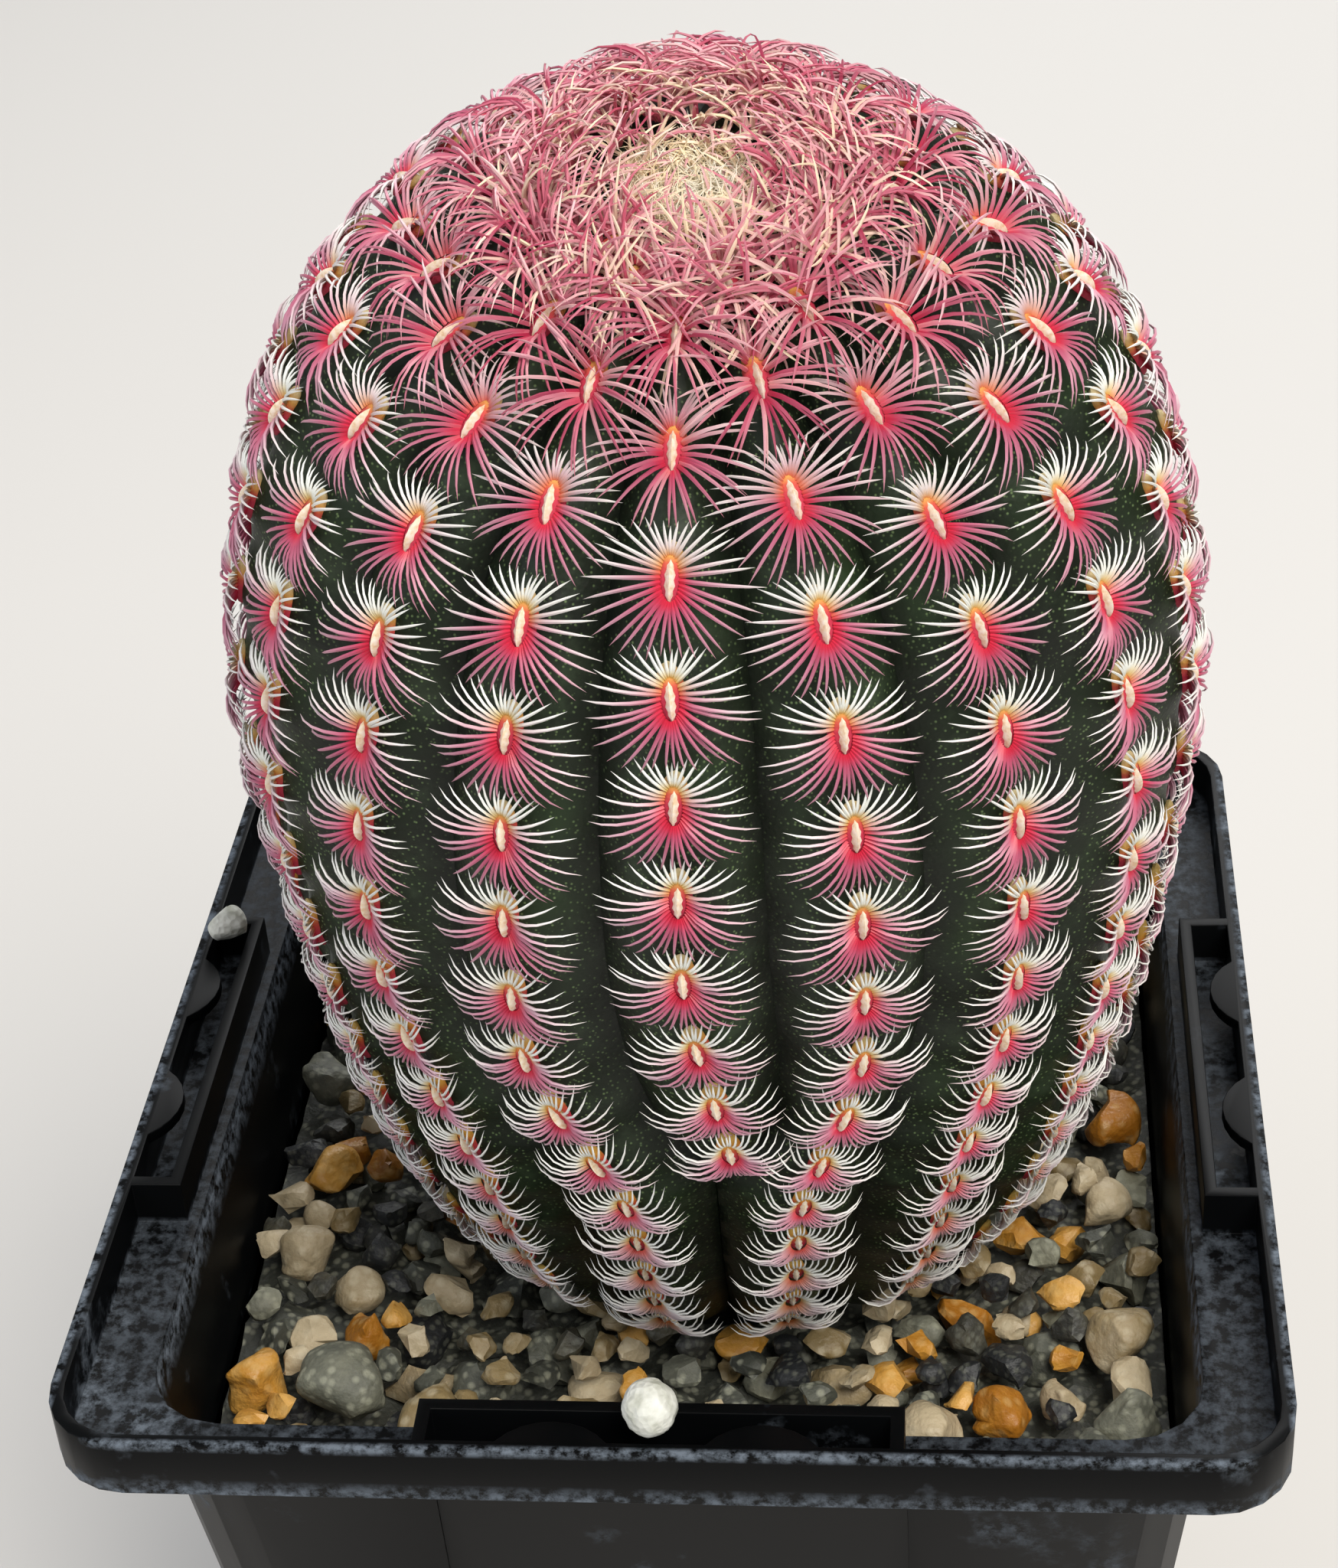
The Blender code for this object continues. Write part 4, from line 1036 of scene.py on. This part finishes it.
def mineralFinish():
    # Expanded perlite: chalky, grey in its pits, with 0.5 mm bubbles
    material, tree, shader = newMaterial("expanded perlite", 0.85)
    place = addNode(tree, "ShaderNodeTexCoord").outputs["Object"]
    pits = addNode(tree, "ShaderNodeTexVoronoi", {"Vector": place, "Scale": 1 / (0.55 * mm)})
    drift = addNode(tree, "ShaderNodeTexNoise", {"Vector": place, "Scale": 1 / (1.6 * mm), "Detail": 5.0})
    tones = addNode(tree, "ShaderNodeValToRGB", {"Fac": drift.outputs["Fac"]},
                    stops=((0.30, "#A6A898"), (0.70, "#ECEDE6"), (0.5, "#CFD0C6")))
    bump = addNode(tree, "ShaderNodeBump", {"Height": pits.outputs["Distance"], "Strength": 0.6,
                                            "Distance": 0.2 * mm})
    tree.links.new(tones.outputs["Color"], shader.inputs["Base Color"])
    tree.links.new(bump.outputs["Normal"], shader.inputs["Normal"])
    return material


def setSlotFinds():
    material = mineralFinish()
    rng = random.Random(4)
    for node, name in (("perlite_bead", "perlite_grain"), ("white_chip", "white_fragment")):
        low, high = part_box(node)
        if node == "perlite_bead":
            startPrimitive()
            bpy.ops.mesh.primitive_ico_sphere_add(subdivisions=4, radius=1)
            model = bpy.context.object
            clouds = bpy.data.textures.new("pits", "CLOUDS")
            clouds.noise_scale = 0.45
            applyModifier(model, "DISPLACE", texture=clouds, strength=0.18, mid_level=0.5)
        else:
            model = modelStone(rng, 3)
            applyModifier(model, "SUBSURF", levels=1, render_levels=1)
        points = numpy.empty(len(model.data.vertices) * 3)
        model.data.vertices.foreach_get("co", points)
        points = points.reshape(-1, 3)
        span = points.max(axis=0) - points.min(axis=0)
        middle = (points.max(axis=0) + points.min(axis=0)) / 2
        points = (points - middle) / span * numpy.array(high - low) + numpy.array((low + high) / 2)
        model.data.vertices.foreach_set("co", points.ravel())
        makeActive(model)
        bpy.ops.object.shade_smooth_by_angle(angle=math.radians(60))
        finishPiece(model, name, material, (node,))


setSlotFinds()
print("the bead and the chip lie in their slots")


# Potting mix under the gravel

def substrateFinish():
    # Peat with bark fibre: dark brown crumbs of about 1.5 mm, quite matt
    material, tree, shader = newMaterial("peat and bark mix", 0.95)
    place = addNode(tree, "ShaderNodeTexCoord").outputs["Object"]
    crumbs = addNode(tree, "ShaderNodeTexVoronoi", {"Vector": place, "Scale": 1 / (1.5 * mm)})
    drift = addNode(tree, "ShaderNodeTexNoise", {"Vector": place, "Scale": 1 / (1.1 * mm), "Detail": 6.0})
    tones = addNode(tree, "ShaderNodeValToRGB", {"Fac": drift.outputs["Fac"]},
                    stops=((0.32, "#17100B"), (0.72, "#4A3524"), (0.5, "#2B1E14")))
    bump = addNode(tree, "ShaderNodeBump", {"Height": crumbs.outputs["Distance"], "Strength": 0.9,
                                            "Distance": 0.6 * mm})
    tree.links.new(tones.outputs["Color"], shader.inputs["Base Color"])
    tree.links.new(bump.outputs["Normal"], shader.inputs["Normal"])
    return material


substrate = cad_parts["substrate"]
substrate.data.materials.clear()
substrate.data.materials.append(substrateFinish())
print("the potting mix has its finish")


# Pot

pot = {
    "merge": 0.02 * mm,
    "flatAngle": 1.0,       # degrees under which two facets are one flat face
    "edgeRadius": 0.28 * mm,
}


def potFinish():
    # Injection-moulded polypropylene: black, satin, with chalky limescale from hard water on its edges and in patches;
    # the pale line along the rim's outer top edge is part limescale, part painted highlight
    material, tree, shader = newMaterial("moulded black polypropylene", 0.42, Specular_IOR_Level=0.11)
    place = addNode(tree, "ShaderNodeTexCoord").outputs["Object"]
    split = addNode(tree, "ShaderNodeSeparateXYZ", {"Vector": place})
    corner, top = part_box("pot")[1].x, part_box("pot")[1].z
    sides = [addNode(tree, "ShaderNodeMath", {0: split.outputs[axis]}, operation="ABSOLUTE").outputs[0]
             for axis in ("X", "Y")]
    reach = addNode(tree, "ShaderNodeMath", {0: sides[0], 1: sides[1]}, operation="MAXIMUM")
    # rim's outer top edge: a pale line that is part limescale, part painted highlight
    outer = addNode(tree, "ShaderNodeMapRange", {"Value": reach.outputs[0], "From Min": corner - 0.75 * mm,
                                                 "From Max": corner - 0.35 * mm})
    upper = addNode(tree, "ShaderNodeMapRange", {"Value": split.outputs["Z"], "From Min": top - 0.7 * mm,
                                                 "From Max": top - 0.2 * mm})
    rim = addNode(tree, "ShaderNodeMath", {0: outer.outputs["Result"], 1: upper.outputs["Result"]},
                  operation="MULTIPLY")
    skirtUp = addNode(tree, "ShaderNodeMapRange", {"Value": split.outputs["Z"], "From Min": top - 3.4 * mm,
                                                   "From Max": top - 4.8 * mm})
    skirtDown = addNode(tree, "ShaderNodeMapRange", {"Value": split.outputs["Z"], "From Min": top - 7.5 * mm,
                                                     "From Max": top - 5.0 * mm})
    skirt = addNode(tree, "ShaderNodeMath", {0: skirtUp.outputs["Result"], 1: skirtDown.outputs["Result"]},
                    operation="MULTIPLY")
    edge = addNode(tree, "ShaderNodeMath", {0: rim.outputs[0], 1: skirt.outputs[0]}, operation="MAXIMUM")
    patchNoise = addNode(tree, "ShaderNodeTexNoise", {"Vector": place, "Scale": 1 / (14 * mm), "Detail": 5.0,
                                                      "Roughness": 0.6})
    patch = addNode(tree, "ShaderNodeMapRange", {"Value": patchNoise.outputs["Fac"], "From Min": 0.58,
                                                 "From Max": 0.76})
    crumbNoise = addNode(tree, "ShaderNodeTexNoise", {"Vector": place, "Scale": 1 / (1.3 * mm), "Detail": 6.0,
                                                      "Roughness": 0.7})
    crumb = addNode(tree, "ShaderNodeMapRange", {"Value": crumbNoise.outputs["Fac"], "From Min": 0.42,
                                                 "From Max": 0.62})
    # edges and patches go pale blue-grey: limescale, with painted highlight along the rim's top edge
    edgeLimeAndHighlight = addNode(tree, "ShaderNodeMath", {0: edge.outputs[0], 1: 0.9}, operation="MULTIPLY")
    both = addNode(tree, "ShaderNodeMath", {0: edgeLimeAndHighlight.outputs[0], 1: patch.outputs["Result"]}, operation="ADD")
    both.use_clamp = True
    limeAndHighlight = addNode(tree, "ShaderNodeMath", {0: both.outputs[0], 1: crumb.outputs["Result"]}, operation="MULTIPLY")
    thin = addNode(tree, "ShaderNodeMath", {0: limeAndHighlight.outputs[0], 1: 0.75}, operation="MULTIPLY")
    colour = addNode(tree, "ShaderNodeMix", {"Factor": thin.outputs[0], 6: "#040506", 7: "#7D8793"},
                     data_type="RGBA")
    dull = addNode(tree, "ShaderNodeMapRange", {"Value": limeAndHighlight.outputs[0], "To Min": 0.42, "To Max": 0.85})
    bump = addNode(tree, "ShaderNodeBump", {"Height": limeAndHighlight.outputs[0], "Strength": 0.4, "Distance": 0.12 * mm})
    tree.links.new(colour.outputs[2], shader.inputs["Base Color"])
    tree.links.new(dull.outputs["Result"], shader.inputs["Roughness"])
    tree.links.new(bump.outputs["Normal"], shader.inputs["Normal"])
    return material


def modelPot():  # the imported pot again, its facets joined to flat faces and its edges rounded
    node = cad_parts["pot"]
    shell = bpy.data.objects.new("nursery_pot", node.data.copy())
    bpy.context.scene.collection.objects.link(shell)
    makeActive(shell)
    bpy.ops.object.mode_set(mode="EDIT")
    bpy.ops.mesh.select_all(action="SELECT")
    bpy.ops.mesh.remove_doubles(threshold=pot["merge"])
    bpy.ops.mesh.dissolve_limited(angle_limit=math.radians(pot["flatAngle"]))
    bpy.ops.object.mode_set(mode="OBJECT")
    applyModifier(shell, "BEVEL", width=pot["edgeRadius"], segments=2, limit_method="ANGLE",
                  angle_limit=math.radians(35), use_clamp_overlap=True)
    makeActive(shell)
    bpy.ops.object.shade_smooth_by_angle(angle=math.radians(40))
    finishPiece(shell, "nursery_pot", potFinish(), ("pot",))


modelPot()
print("the pot is rounded and limed")
